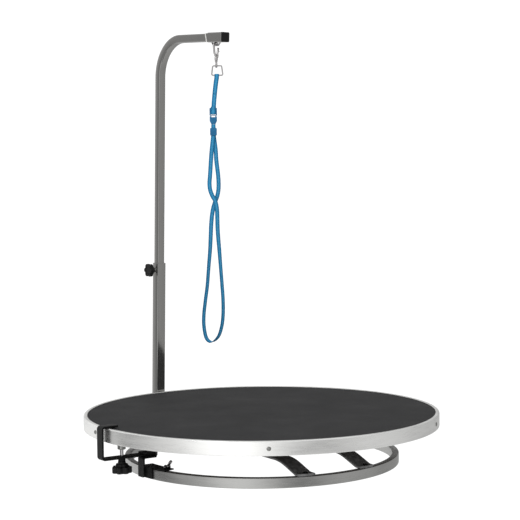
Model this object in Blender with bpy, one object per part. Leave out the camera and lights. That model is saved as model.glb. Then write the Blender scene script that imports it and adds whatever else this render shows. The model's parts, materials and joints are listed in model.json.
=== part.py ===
"""Round low-profile pet grooming table with a turning top, a rotation lock and a noose arm.

Metres, +Z up. The origin is on the floor, on the axis that the tabletop turns about.
Angles round the table are in degrees from the front (-Y), positive towards the right (+X).
"""

import math

import bmesh
import bpy
from mathutils import Matrix, Vector

# ---------------------------------------------------------------- driving dimensions
GAP = 0.0003  # between touching pieces
RING_SIDES = 60  # of the large rings

TABLE_RADIUS = 0.4050
RIM_TOP = 0.1160
RIM_BOTTOM = 0.0856
BAND_THICK = 0.0015
BAND_LIP = 0.0085  # width of the lip that holds the mat's edge
MAT_THICK = 0.0034
RIM_SCREW_ANGLES = (-62.6, 2, 71.9, 147, 222)

RING_RADIUS = 0.3130
RING_WIDTH = 0.0155
RING_HEIGHT = 0.0225
RING_WALL = 0.0015

BOLT_SHANK = 0.0029  # radius
BOLT_HOLE = 0.0033

BAR_ANGLE = 32.0  # direction of the two support bars
BAR_OFFSET = 0.0775  # of each bar from the centre line
BAR_WIDTH = 0.0400
BAR_THICK = 0.0050
BAR_UNDERSIDE = 0.0435
BAR_CORNER = 0.2250  # where a bar starts to drop towards the ring
BAR_FOOT_INNER = 0.2860
BAR_FOOT_OUTER = 0.3030

LOWER_PLATE_RADIUS = 0.1200
UPPER_PLATE_RADIUS = 0.1100
PEDESTAL_TOP = 0.0751
UPPER_PLATE_LOW = 0.0837
UPPER_PLATE_HIGH = 0.0871
LOWER_PLATE_LOW = BAR_UNDERSIDE + BAR_THICK + GAP
PLATE_THICK = 0.0030
PEDESTAL_RADIUS = 0.0850
PLATE_SCREW_CIRCLE = 0.100
PIVOT_RADIUS = 0.0060

LOCK_ANGLE = -56.3
LOCK_STRIP = (0.0045, 0.0240)  # thickness and width of the C-frame's flat bar
LOCK_LEG = 0.41375  # radius of the C-frame's upright, at the middle of its thickness
LOCK_SCREW_AT = 0.3630
LOCK_ARM_LOW = 0.0466
LOCK_ARM_END = 0.2700  # radius where the C-frame's lower arm ends
LOCK_BOLT_AT = 0.2850
LOCK_SCREW_RADIUS = 0.0040
PAD_HEIGHT = 0.0210
PAD_SOCKET = 0.0060  # how far the screw's neck reaches into the pad
LOCK_KNOB_LOW = 0.0146
LOCK_KNOB_TOP = 0.0389
STRAP_ANGLE = -55.0
SLEEVE_WALL = 0.0032
LEVER_ANGLE = -43.6
LEVER_RADIUS = 0.2950
LEVER_HEIGHT = 0.0298

POLE_ANGLE = -142.2
POLE_AT = 0.4270  # from the table's axis
POLE_LEAN = 1.95  # degrees, towards the table's axis
SOCKET_SIZE = 0.0320
LOWER_TUBE = 0.0240
LOWER_WALL = 0.0015
LOWER_BOTTOM = 0.0040
LOWER_TOP = 0.4395
UPPER_TUBE = 0.0190
UPPER_WALL = 0.0015
UPPER_BOTTOM = 0.2400
BEND_RADIUS = 0.0900
BEND_ANGLE = 91.5
ARM_CORNER = 0.9932  # height up the pole where its line meets the arm's line
ARM_REACH = 0.2680  # from the pole's centre line to the tube's end
CAP_FLANGE = 0.0030  # thickness of the end cap outside the tube
SLEEVE_START = 0.2130
SLEEVE_SIZE = 0.0230
ARM_KNOB_HEIGHT = 0.4223

BAIL_AT = 0.2340
BAIL_WIRE = 0.0020  # radius
BAIL_LEGS = 0.0150  # each side of its middle
BAIL_FLAT = 0.0080
BAIL_DEPTH = 0.0070  # bar's centre below the sleeve

# Heights on the hook and its ring are above the bail's bar, so they are negative.
HOOK_WIRE = 0.0018
HOOK_INNER = 0.0040
BARREL = (-0.0355, -0.0270)
EYE_CENTRE = -0.04465
EYE_HALF = (0.0045, 0.00605)
LINK_WIRE = 0.0014
RING_TOP = -0.0476
RING_BOTTOM = -0.0699
RING_SHIFT = 0.0020  # of the ring's middle from the bail's
GATE_PIVOT = (0.0030, -0.0225)
GATE_PIN = 0.0008
SWIVEL_STEM = 0.0014
SWIVEL_HEAD = 0.0022

# Places on the noose: x to the right of the bail's bar, y from it, and heights above the floor.
BAIL_HEIGHT = 0.9604
BUCKLE_X = -0.0083
MALE = (0.7958, 0.8142)
FEMALE = (0.7762, 0.7945)
SLIDER = (0.7491, 0.7672)
STRAND = 0.0018  # of each strand from the middle, front to back, in the buckle and slider
WEB_TUBE = 0.0015  # radius of the plain tube that stands for the webbing

HANGER_ROUTE = [
    (0.0010, 0.0, 0.8868),
    (-0.0010, 0.0, 0.8750),
    (-0.0034, 0.0, 0.8560),
    (-0.0058, 0.0, 0.8340),
    (-0.0072, 0.0, 0.8146),
]
LOOP_ROUTE = [
    (-0.0083, -STRAND, 0.7758),
    (-0.0084, -STRAND, 0.7640),
    (-0.0090, -STRAND, 0.7490),
    (-0.0129, -0.0012, 0.7150),
    (-0.0150, -0.0006, 0.6910),
    (-0.0175, -0.0008, 0.6560),
    (-0.0190, -0.0014, 0.6370),
    (-0.0175, -0.0024, 0.6210),
    (-0.0121, -0.0033, 0.6065),
    (-0.0057, -0.0036, 0.5950),
    (-0.0022, -0.0033, 0.5780),
    (-0.0014, -0.0024, 0.5600),
    (-0.0012, -0.0012, 0.5380),
    (-0.0002, 0.0, 0.5140),
    (0.0024, 0.0, 0.4790),
    (0.0048, 0.0, 0.4430),
    (0.0080, 0.0, 0.3955),
    (0.0100, 0.0, 0.3600),
    (0.0096, 0.0, 0.3240),
    (0.0058, 0.0, 0.2960),
    (-0.0024, 0.0, 0.2730),
    (-0.0174, 0.0, 0.2610),
    (-0.0300, 0.0, 0.2690),
    (-0.0358, 0.0, 0.2960),
    (-0.0360, 0.0, 0.3240),
    (-0.0318, 0.0, 0.3600),
    (-0.0269, 0.0, 0.3955),
    (-0.0228, 0.0, 0.4430),
    (-0.0195, 0.0, 0.4790),
    (-0.0175, 0.0, 0.5140),
    (-0.0163, 0.0012, 0.5380),
    (-0.0142, 0.0024, 0.5600),
    (-0.0110, 0.0033, 0.5780),
    (-0.0057, 0.0036, 0.5950),
    (-0.0012, 0.0033, 0.6065),
    (0.0018, 0.0024, 0.6210),
    (0.0024, 0.0014, 0.6370),
    (0.0015, 0.0008, 0.6560),
    (-0.0023, 0.0006, 0.6910),
    (-0.0036, 0.0012, 0.7150),
    (-0.0076, STRAND, 0.7490),
    (-0.0082, STRAND, 0.7640),
    (-0.0083, STRAND, 0.7758),
]


# ---------------------------------------------------------------- shapes
# A shape is (points, faces). Paths and sections are lists of pairs.
def circle(radius, count):
    turn = 2 * math.pi / count
    return [(radius * math.cos(i * turn), radius * math.sin(i * turn)) for i in range(count)]


def hexagon(across, count=12):
    """A hexagon of that width across its flats, with a point at each corner and each flat's middle."""
    corner = across / 2 / math.cos(math.pi / 6)
    radii = [corner if i % 2 == 0 else across / 2 for i in range(count)]
    turn = 2 * math.pi / count
    return [(r * math.cos(i * turn), r * math.sin(i * turn)) for i, r in enumerate(radii)]


def lobes(radius, depth, count, per_lobe=6):
    """The outline of a star knob."""
    total = count * per_lobe
    points = []
    for i in range(total):
        a = 2 * math.pi * i / total
        r = radius - depth * (0.5 - 0.5 * math.cos(count * a)) ** 1.5
        points.append((r * math.cos(a), r * math.sin(a)))
    return points


def arc(centre, radius, start, end, count):
    """Points on an arc, angles in degrees."""
    angles = [math.radians(start + (end - start) * i / count) for i in range(count + 1)]
    return [(centre[0] + radius * math.cos(a), centre[1] + radius * math.sin(a)) for a in angles]


def rounded(points, radius, count=4, closed=True):
    """The polygon with each corner rounded; radius is one number or one for each corner."""
    radii = radius if isinstance(radius, (list, tuple)) else [radius] * len(points)
    out = []
    last = len(points) - 1
    for i, p in enumerate(points):
        if radii[i] <= 0 or (not closed and i in (0, last)):
            out.append(tuple(p))
            continue
        here = Vector(p)
        before = (Vector(points[i - 1]) - here).normalized()
        after = (Vector(points[(i + 1) % len(points)]) - here).normalized()
        half = before.angle(after) / 2
        reach = radii[i] / math.tan(half)
        centre = here + (before + after).normalized() * radii[i] / math.sin(half)
        first = here + before * reach - centre
        sweep_angle = first.angle_signed(here + after * reach - centre)
        for k in range(count + 1):
            a = -sweep_angle * k / count
            x = first.x * math.cos(a) - first.y * math.sin(a)
            y = first.x * math.sin(a) + first.y * math.cos(a)
            out.append((centre.x + x, centre.y + y))
    return out


def rectangle(width, height, radius=0.0, count=2):
    w, h = width / 2, height / 2
    corners = [(-w, -h), (w, -h), (w, h), (-w, h)]
    return rounded(corners, radius, count) if radius else corners


def loft(rings, cyclic=False):
    """A closed skin through rings of equal length, with flat ends unless it closes on itself."""
    count = len(rings[0])
    points = [Vector(p) for ring in rings for p in ring]
    faces = []
    for i in range(len(rings) if cyclic else len(rings) - 1):
        a, b = i * count, (i + 1) % len(rings) * count
        faces += [(a + j, a + (j + 1) % count, b + (j + 1) % count, b + j) for j in range(count)]
    if not cyclic:
        faces.append(tuple(reversed(range(count))))
        faces.append(tuple(range(len(points) - count, len(points))))
    return points, faces


def pipe(outer, inner):
    """The hollow between two open stacks of rings of equal counts, joined at both ends."""
    count, last = len(outer[0]), len(outer) - 1
    points = [Vector(p) for ring in outer + inner for p in ring]
    shift = len(outer) * count
    faces = []
    for i in range(last):
        for j in range(count):
            k = (j + 1) % count
            a, b = i * count, (i + 1) * count
            faces.append((a + j, a + k, b + k, b + j))
            faces.append((shift + a + k, shift + a + j, shift + b + j, shift + b + k))
    for j in range(count):
        k = (j + 1) % count
        top = last * count
        faces.append((j, shift + j, shift + k, k))
        faces.append((top + j, top + k, shift + top + k, shift + top + j))
    return points, faces


def level(outline, z):
    return [(x, y, z) for x, y in outline]


def prism(outline, low, high):
    """An outline raised from low to high."""
    return loft([level(outline, low), level(outline, high)])


def shrunk(outline, by):
    """The outline scaled in towards its middle so that its nearest side moves in by that much."""
    middle = Vector((sum(x for x, _ in outline), sum(y for _, y in outline))) / len(outline)
    size_x = max(abs(x - middle.x) for x, _ in outline)
    size_y = max(abs(y - middle.y) for _, y in outline)
    return [
        (middle.x + (x - middle.x) * (1 - by / size_x), middle.y + (y - middle.y) * (1 - by / size_y))
        for x, y in outline
    ]


def turned(profile, count=20):
    """A solid of revolution about Z from (radius, z) pairs that run upwards."""
    return loft([level(circle(r, count), z) for r, z in profile])


def turned_ring(profile, count=RING_SIDES):
    """A ring about Z with a closed (radius, z) profile."""
    turn = 2 * math.pi / count
    rings = [[(r * math.cos(i * turn), r * math.sin(i * turn), z) for r, z in profile] for i in range(count)]
    return loft(rings, cyclic=True)


def arc_block(profile, start, end, count=8):
    """A (radius, z) profile carried round the table from one angle to another."""
    rings = []
    for i in range(count + 1):
        a = math.radians(start + (end - start) * i / count)
        rings.append([(r * math.sin(a), -r * math.cos(a), z) for r, z in profile])
    return loft(rings)


def carry(path, section, closed=False):
    """Rings of a section (across, side) along a path in the XZ plane; side is along Y."""
    rings = []
    last = len(path) - 1
    for i, p in enumerate(path):
        before = path[i - 1] if (closed or i > 0) else None
        after = path[(i + 1) % len(path)] if (closed or i < last) else None
        into = Vector(p) - Vector(before) if before else Vector(after) - Vector(p)
        out = Vector(after) - Vector(p) if after else into
        into.normalize()
        out.normalize()
        tangent = (into + out).normalized()
        stretch = 1 / max(0.3, tangent.dot(out))
        across = Vector((-tangent.y, tangent.x)) * stretch
        rings.append([(p[0] + across.x * u, v, p[1] + across.y * u) for u, v in section])
    return rings


def sweep(path, section, closed=False):
    return loft(carry(path, section, closed), cyclic=closed)


def wire(path, radius, count=8, closed=False):
    return sweep(path, circle(radius, count), closed)


def moved(shape, place):
    """The shape after a Matrix, or moved by a triple."""
    matrix = place if isinstance(place, Matrix) else Matrix.Translation(place)
    return [matrix @ p for p in shape[0]], shape[1]


def together(*shapes):
    points, faces = [], []
    for more, their_faces in shapes:
        faces += [tuple(i + len(points) for i in face) for face in their_faces]
        points += more
    return points, faces


def spot(angle, radius, z=0.0):
    a = math.radians(angle)
    return Vector((radius * math.sin(a), -radius * math.cos(a), z))


def facing(angle):
    """A frame on the table's axis whose +X points outwards at that angle."""
    return Matrix.Rotation(math.radians(angle - 90), 4, "Z")


def along_x():
    """Turns a shape built along +Z so that it lies along +X."""
    return Matrix.Rotation(math.radians(90), 4, "Y")


# ---------------------------------------------------------------- objects
def clear_scene():
    for obj in list(bpy.data.objects):
        bpy.data.objects.remove(obj, do_unlink=True)


def material(name, colour, roughness, metallic):
    made = bpy.data.materials.new(name)
    made.use_nodes = True
    shader = made.node_tree.nodes["Principled BSDF"]
    shader.inputs["Base Color"].default_value = (*colour, 1.0)
    shader.inputs["Roughness"].default_value = roughness
    shader.inputs["Metallic"].default_value = metallic
    return made


def empty(name, place, parent=None):
    made = bpy.data.objects.new(name, None)
    bpy.context.scene.collection.objects.link(made)
    made.parent = parent
    made.matrix_local = place if isinstance(place, Matrix) else Matrix.Translation(place)
    return made


def closed_mesh(name, shape):
    """A mesh of the shape, with every body's faces turned outwards."""
    mesh = bpy.data.meshes.new(name)
    mesh.from_pydata([tuple(p) for p in shape[0]], [], shape[1])
    work = bmesh.new()
    work.from_mesh(mesh)
    bmesh.ops.recalc_face_normals(work, faces=work.faces)
    work.to_mesh(mesh)
    work.free()
    return mesh


def add(name, shape, finish, parent=None, place=None):
    """One named piece. Its origin is its parent empty, or place in its parent's frame."""
    mesh = closed_mesh(name, shape)
    mesh.shade_smooth()
    mesh.set_sharp_from_angle(angle=math.radians(35))
    mesh.materials.append(finish)
    made = bpy.data.objects.new(name, mesh)
    bpy.context.scene.collection.objects.link(made)
    made.parent = parent
    if place is not None:
        made.matrix_local = place if isinstance(place, Matrix) else Matrix.Translation(place)
    return made


def add_each(name, shape, finish, places, parent=None):
    """The same piece at each place, as name_1, name_2 and so on."""
    for i, place in enumerate(places, 1):
        add(f"{name}_{i}", shape, finish, parent, place)


def boolean(target, shape, operation="DIFFERENCE", tag="cut"):
    """Cuts a shape, in the target's own frame, from the target, or joins it on."""
    mesh = closed_mesh(f"{target.name}_{tag}", shape)
    cutter = bpy.data.objects.new(mesh.name, mesh)
    bpy.context.scene.collection.objects.link(cutter)
    cutter.parent = target
    cutter.hide_render = True
    cutter.display_type = "WIRE"
    modifier = target.modifiers.new(tag, "BOOLEAN")
    modifier.operation = operation
    modifier.object = cutter


def bolt(head, height, shank, length, socket=0.0, count=12):
    """A round-headed bolt: its head stands on z=0, its shank goes down."""
    profile = [(shank, -length), (shank, 0), (head, 0), (head, 0.55 * height), (0.72 * head, height)]
    rings = [level(circle(r, count), z) for r, z in profile]
    if socket:
        hexes = hexagon(socket)
        rings += [level(hexes, height), level(hexes, 0.35 * height)]
    return loft(rings)


def nut(across, height, hole, low=0.0):
    """A hexagon nut standing on z=low."""
    outer = [level(hexagon(across), low), level(hexagon(across), low + height)]
    inner = [level(circle(hole, 12), low), level(circle(hole, 12), low + height)]
    return pipe(outer, inner)


def star_knob(radius, hub, height, flange, count=7):
    """A star knob on z=0 to height: a lobed flange first, then a narrower ribbed hub."""
    rim = 0.0012
    wide, narrow = lobes(radius, 0.22 * radius, count), lobes(hub, 0.10 * hub, count)
    slim = lobes(0.62 * hub, 0.0, count)
    rings = [
        level(shrunk(wide, rim), 0),
        level(wide, rim),
        level(wide, flange - rim),
        level(shrunk(wide, rim), flange),
        level(narrow, flange + 0.0006),
        level(narrow, 0.80 * height),
        level(slim, 0.84 * height),
        level(slim, height),
    ]
    return loft(rings)


# ---------------------------------------------------------------- finishes
def finishes():
    return {
        "satin_steel": material("satin_steel", (0.42, 0.42, 0.41), 0.38, 1.0),
        "brushed_rim": material("brushed_rim", (0.72, 0.72, 0.71), 0.30, 1.0),
        "mat_rubber": material("mat_rubber", (0.045, 0.045, 0.046), 0.85, 0.0),
        "plywood": material("plywood", (0.50, 0.36, 0.22), 0.75, 0.0),
        "black_coat": material("black_coat", (0.022, 0.022, 0.022), 0.55, 0.0),
        "zinc": material("zinc", (0.65, 0.65, 0.63), 0.35, 1.0),
        "chrome": material("chrome", (0.82, 0.82, 0.82), 0.10, 1.0),
        "pole_steel": material("pole_steel", (0.24, 0.24, 0.23), 0.25, 1.0),
        "black_plastic": material("black_plastic", (0.015, 0.015, 0.015), 0.45, 0.0),
        "nylon": material("nylon", (0.78, 0.77, 0.73), 0.50, 0.0),
        "webbing": material("webbing", (0.03, 0.20, 0.48), 0.80, 0.0),
        "blue_plastic": material("blue_plastic", (0.02, 0.16, 0.40), 0.40, 0.0),
        "light_band": material("light_band", (0.75, 0.75, 0.73), 0.40, 0.0),
    }


# ---------------------------------------------------------------- base
def along_bar(radius):
    """How far along a bar its centre line meets that circle."""
    return math.sqrt(radius**2 - BAR_OFFSET**2)


def bar_spots(along):
    """The four points, two on each bar, at that distance each way from the middle."""
    frame = facing(BAR_ANGLE)
    return [frame @ Vector((sx * along, sy * BAR_OFFSET, 0)) for sx in (1, -1) for sy in (1, -1)]


def bracket_spots():
    """Where the pole's bracket is bolted to the ring."""
    return [spot(POLE_ANGLE + turn, RING_RADIUS - RING_WIDTH / 2) for turn in (-2.1, 2.1)]


def make_base_ring(look):
    middle, half = RING_RADIUS - RING_WIDTH / 2, RING_HEIGHT / 2
    outer = [(middle + x, half + z) for x, z in rectangle(RING_WIDTH, RING_HEIGHT, 0.0012, 1)]
    inside = rectangle(RING_WIDTH - 2 * RING_WALL, RING_HEIGHT - 2 * RING_WALL)
    inner = [(middle + x, half + z) for x, z in inside]
    ring = add("base_ring", turned_ring(outer), look["satin_steel"])
    boolean(ring, turned_ring(inner), tag="hollow")
    hole = prism(circle(BOLT_HOLE, 12), RING_HEIGHT - 0.004, RING_HEIGHT + 0.004)
    spots = bar_spots(along_bar(middle)) + bracket_spots()
    boolean(ring, together(*[moved(hole, p) for p in spots]), tag="bolt_holes")


def bar_path():
    """A bar from end to end in its own XZ plane, at the middle of its thickness."""
    low = RING_HEIGHT + GAP + BAR_THICK / 2
    high = BAR_UNDERSIDE + BAR_THICK / 2
    corners = [(-0.01, high), (BAR_CORNER, high), (BAR_FOOT_INNER, low), (BAR_FOOT_OUTER, low)]
    half = rounded(corners, [0, 0.130, 0.020, 0], 6, closed=False)[1:]
    return [(-x, z) for x, z in reversed(half)] + half


def make_support_bars(look):
    """Two bars across the ring; their ends follow its outer edge."""
    section = rectangle(BAR_THICK, BAR_WIDTH, 0.0010, 1)
    foot = along_bar(RING_RADIUS - RING_WIDTH / 2)
    for name, side in (("support_bar_left", -1), ("support_bar_right", 1)):
        shape = moved(sweep(bar_path(), section), (0, side * BAR_OFFSET, 0))
        bar = add(name, shape, look["black_coat"], place=facing(BAR_ANGLE))
        inside_ring = turned([(RING_RADIUS - 0.0004, 0), (RING_RADIUS - 0.0004, 0.08)], RING_SIDES)
        boolean(bar, inside_ring, "INTERSECT", "ends")
        hole = prism(circle(BOLT_HOLE, 12), RING_HEIGHT - 0.003, RING_HEIGHT + BAR_THICK + 0.004)
        holes = [moved(hole, (sx * foot, side * BAR_OFFSET, 0)) for sx in (-1, 1)]
        boolean(bar, together(*holes), tag="bolt_holes")


def make_base_bolts(look):
    on_foot = RING_HEIGHT + 2 * GAP + BAR_THICK
    button = bolt(0.0052, 0.0027, BOLT_SHANK, on_foot - RING_HEIGHT + 0.006, socket=0.0040)
    feet = bar_spots(along_bar(RING_RADIUS - RING_WIDTH / 2))
    add_each("bar_foot_bolt", button, look["black_coat"], [p + Vector((0, 0, on_foot)) for p in feet])


# ---------------------------------------------------------------- turntable bearing
def make_lower_bearing(look):
    """The fixed plate welded on the bars, the spool on it, and the slide ring that the top turns on."""
    low, high = LOWER_PLATE_LOW, LOWER_PLATE_LOW + PLATE_THICK
    bore = PIVOT_RADIUS + 0.0005
    profile = [(bore, low), (LOWER_PLATE_RADIUS, low), (LOWER_PLATE_RADIUS, high), (bore, high)]
    add("lower_bearing_plate", turned_ring(profile, 36), look["zinc"])
    foot, rim = high + GAP, 0.0030
    spool = [
        (0.0600, foot),
        (PEDESTAL_RADIUS, foot),
        (PEDESTAL_RADIUS, foot + rim),
        (0.0700, foot + rim),
        (0.0700, PEDESTAL_TOP - rim),
        (PEDESTAL_RADIUS, PEDESTAL_TOP - rim),
        (PEDESTAL_RADIUS, PEDESTAL_TOP),
        (0.0600, PEDESTAL_TOP),
    ]
    add("bearing_pedestal", turned_ring(spool, 36), look["zinc"])
    top = UPPER_PLATE_LOW - GAP
    ring = [(0.0620, PEDESTAL_TOP + GAP), (0.0830, PEDESTAL_TOP + GAP), (0.0830, top), (0.0620, top)]
    add("bearing_slide_ring", turned_ring(ring, 36), look["nylon"])


def make_upper_bearing(look, top):
    """The plate under the board, its screws, and where those go."""
    low, high = UPPER_PLATE_LOW, UPPER_PLATE_HIGH
    bore = PIVOT_RADIUS + GAP
    profile = [(bore, low), (UPPER_PLATE_RADIUS, low), (UPPER_PLATE_RADIUS, high), (bore, high)]
    plate = add("upper_bearing_plate", turned_ring(profile, 36), look["zinc"], top)
    spots = [spot(60 + 120 * i, PLATE_SCREW_CIRCLE) for i in range(3)]
    hole = prism(circle(0.0024, 12), low - 0.002, high + 0.002)
    boolean(plate, together(*[moved(hole, p) for p in spots]), tag="screw_holes")
    flip = Matrix.Rotation(math.pi, 4, "X")
    screw = moved(bolt(0.0042, 0.0020, 0.0020, 0.0150, socket=0.0028), flip)
    add_each("bearing_plate_screw", screw, look["zinc"], [p + Vector((0, 0, low - GAP)) for p in spots], top)
    return spots


def make_pivot(look, top):
    """The bolt that holds the turning top down on the lower plate, and its nut."""
    head = UPPER_PLATE_HIGH + GAP
    shaft = [
        (PIVOT_RADIUS - 0.0010, 0.0355),
        (PIVOT_RADIUS, 0.0365),
        (PIVOT_RADIUS, head),
        (0.0100, head),
        (0.0100, head + 0.0040),
        (0.0090, head + 0.0050),
    ]
    add("pivot_bolt", turned(shaft, 24), look["zinc"], top)
    low = LOWER_PLATE_LOW - GAP - 0.0100
    add("pivot_nut", nut(0.0190, 0.0100, PIVOT_RADIUS + GAP, low=low), look["zinc"], top)


# ---------------------------------------------------------------- tabletop
def band_profile():
    """The rim's C section: outer wall, a lip over the mat, and a short lip under the board."""
    outer, inner = TABLE_RADIUS, TABLE_RADIUS - BAND_THICK
    lip, hem = TABLE_RADIUS - BAND_LIP, TABLE_RADIUS - 0.0060
    return [
        *arc((outer - 0.0012, RIM_BOTTOM + 0.0012), 0.0012, -90, 0, 1),
        *arc((outer - 0.0030, RIM_TOP - 0.0030), 0.0030, 0, 90, 2),
        (lip, RIM_TOP),
        (lip, RIM_TOP - BAND_THICK),
        (inner, RIM_TOP - BAND_THICK),
        (inner, RIM_BOTTOM + BAND_THICK),
        (hem, RIM_BOTTOM + BAND_THICK),
        (hem, RIM_BOTTOM),
    ]


def make_tabletop(look, top, plate_screws):
    board_low = RIM_BOTTOM + BAND_THICK + GAP
    mat_high = RIM_TOP - BAND_THICK - GAP
    board_high = mat_high - MAT_THICK - GAP
    edge = TABLE_RADIUS - BAND_THICK - GAP
    disc = turned([(edge, board_low), (edge, board_high)], RING_SIDES)
    board = add("tabletop_board", disc, look["plywood"], top)
    head_space = prism(circle(0.0112, 16), board_low - 0.002, UPPER_PLATE_HIGH + 0.0060)
    hole = prism(circle(0.0023, 12), board_low - 0.002, UPPER_PLATE_LOW + 0.0165)
    boolean(board, together(head_space, *[moved(hole, p) for p in plate_screws]), tag="pivot_and_screws")
    add("top_mat", turned([(edge, board_high + GAP), (edge, mat_high)], RING_SIDES), look["mat_rubber"], top)
    band = add("edge_band", turned_ring(band_profile()), look["brushed_rim"], top)

    middle = (RIM_TOP + RIM_BOTTOM) / 2
    screw = bolt(0.0036, 0.0015, 0.0014, 0.0160, socket=0.0024)
    hole = prism(circle(0.0018, 12), -0.0175, 0.0030)
    edge_place = Matrix.Translation((TABLE_RADIUS, 0, middle)) @ along_x()
    seats = [facing(angle) @ edge_place for angle in RIM_SCREW_ANGLES]
    add_each("edge_band_screw", screw, look["zinc"], seats, top)
    for target in (band, board):
        boolean(target, together(*[moved(hole, s) for s in seats]), tag="rim_holes")


# ---------------------------------------------------------------- rotation lock
def slanted_end(height):
    """What is cut off an arm at that height to slant its end."""
    outline = [(0.2400, -0.0150), (0.2640, -0.0150), (0.2870, 0.0150), (0.2870, 0.0300), (0.2400, 0.0300)]
    return prism(outline, height - 0.0050, height + 0.0050)


def make_lock_frame(look):
    """The C-shaped flat bar that reaches round the table's edge, and its threaded boss."""
    thick, width = LOCK_STRIP
    jaw, arm = 0.1188, LOCK_ARM_LOW + thick / 2
    corners = [(0.3770, jaw), (LOCK_LEG, jaw), (LOCK_LEG, arm), (LOCK_ARM_END, arm)]
    path = rounded(corners, 0.0055, 5, closed=False)
    frame = facing(LOCK_ANGLE)
    shape = sweep(path, rectangle(thick, width, 0.0007, 1))
    clamp = add("lock_c_frame", shape, look["black_coat"], place=frame)
    holes = []
    for x, radius in ((LOCK_SCREW_AT, LOCK_SCREW_RADIUS + 0.0005), (LOCK_BOLT_AT, BOLT_HOLE)):
        holes.append(moved(prism(circle(radius, 16), arm - 0.004, arm + 0.004), (x, 0, 0)))
    boolean(clamp, together(*holes), tag="holes")
    boolean(clamp, slanted_end(arm), tag="arm_end")
    low, high = 0.0398, LOCK_ARM_LOW - GAP
    boss = [level(circle(r, 20), z) for r, z in ((0.0072, low), (0.0080, low + 0.0008), (0.0080, high))]
    bore = [level(circle(LOCK_SCREW_RADIUS + GAP, 20), z) for z in (low, low + 0.0008, high)]
    add("lock_nut", moved(pipe(boss, bore), frame @ Vector((LOCK_SCREW_AT, 0, 0))), look["black_coat"])


def make_lock_bracket(look):
    """The strap that carries the C-frame on the ring, a plate over both, and their bolt."""
    strap_frame = facing(STRAP_ANGLE)
    thick = 0.0040
    outer = RING_RADIUS + GAP + SLEEVE_WALL + GAP + thick / 2
    flange = LOCK_ARM_LOW - GAP - thick / 2
    corners = [(outer, 0.0015), (outer, flange), (LOCK_ARM_END - 0.0010, flange)]
    path = rounded(corners, 0.0040, 4, closed=False)
    shape = sweep(path, rectangle(thick, 0.0240, 0.0006, 1))
    strap = add("lock_bracket", shape, look["black_coat"], place=strap_frame)
    bolt_at = facing(LOCK_ANGLE) @ Vector((LOCK_BOLT_AT, 0, 0))
    hole = prism(circle(BOLT_HOLE, 16), -0.010, 0.010)
    boolean(strap, moved(hole, strap_frame.inverted() @ bolt_at + Vector((0, 0, flange))), tag="bolt_hole")
    turn = strap_frame.inverted() @ facing(LOCK_ANGLE)
    boolean(strap, moved(slanted_end(flange), turn), tag="flange_end")
    corner = prism([(0.0062, -0.001), (0.014, -0.001), (0.014, 0.0085)], -0.01, 0.01)
    boolean(strap, moved(corner, Matrix.Translation((outer, 0, 0)) @ stood_in_yz()), tag="chamfer")

    low = LOCK_ARM_LOW + LOCK_STRIP[0] + GAP
    corners = [(0.2670, -0.0100), (0.3180, -0.0125), (0.3140, 0.0150), (0.2860, 0.0130)]
    outline = rounded(corners, 0.0040, 4)
    shape = prism(outline, low, low + 0.0030)
    plate = add("lock_top_plate", shape, look["black_coat"], place=facing(LOCK_ANGLE))
    boolean(plate, moved(hole, (LOCK_BOLT_AT, 0, low)), tag="bolt_hole")

    under = LOCK_ARM_LOW - GAP - thick
    on_plate = low + 0.0030 + GAP
    joint_bolt = bolt(0.0056, 0.0030, BOLT_SHANK, on_plate - under + 0.0030, socket=0.0040)
    add("lock_bracket_bolt", moved(joint_bolt, bolt_at + Vector((0, 0, on_plate))), look["black_coat"])


def stood_in_yz():
    """Stands an XY outline up in the YZ plane, so that its height runs along X."""
    return Matrix(((0, 0, 1, 0), (1, 0, 0, 0), (0, 1, 0, 0), (0, 0, 0, 1)))


def stood_in_xz():
    """Stands an XY outline up in the XZ plane, so that its height runs along -Y."""
    return Matrix(((1, 0, 0, 0), (0, 0, -1, 0), (0, 1, 0, 0), (0, 0, 0, 1)))


def make_lock_sleeve(look):
    """A saddle over the ring, with a fork beside it that holds the lever."""
    inside, outside = RING_RADIUS - RING_WIDTH - 2 * GAP, RING_RADIUS + GAP
    roof, top = RING_HEIGHT + GAP, RING_HEIGHT + GAP + 0.0030
    saddle = [
        (0.2850, 0.0040),
        (inside, 0.0040),
        (inside, roof),
        (outside, roof),
        (outside, 0.0020),
        (outside + SLEEVE_WALL, 0.0020),
        (outside + SLEEVE_WALL, top),
        (0.2850, top),
    ]
    sleeve = add("lock_sleeve", arc_block(saddle, -57, -48.5, 5), look["black_coat"])
    low, high = roof + 0.0002, roof + 0.0028
    tongue = [(0.2860, low), (outside, low), (outside, high), (0.2860, high)]
    boolean(sleeve, arc_block(tongue, -49.5, LEVER_ANGLE + 2.2, 5), "UNION", tag="tongue")
    ear = [*arc((0, LEVER_HEIGHT), 0.0042, 0, 180, 8), (-0.0042, high - 0.0010), (0.0042, high - 0.0010)]
    frame = facing(LEVER_ANGLE)
    ears = []
    for x in (-0.0052, 0.0052):
        place = frame @ Matrix.Translation((LEVER_RADIUS + x, 0, 0)) @ stood_in_yz()
        ears.append(moved(prism(ear, -0.0010, 0.0010), place))
    boolean(sleeve, together(*ears), "UNION", tag="ears")
    pin_hole = prism(circle(0.0016, 12), -0.010, 0.010)
    boolean(sleeve, moved(pin_hole, lever_frame() @ along_x()), tag="pin_hole")


def lever_frame():
    """The lever's axis: its X points outwards from the table."""
    return facing(LEVER_ANGLE) @ Matrix.Translation((LEVER_RADIUS, 0, LEVER_HEIGHT))


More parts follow.
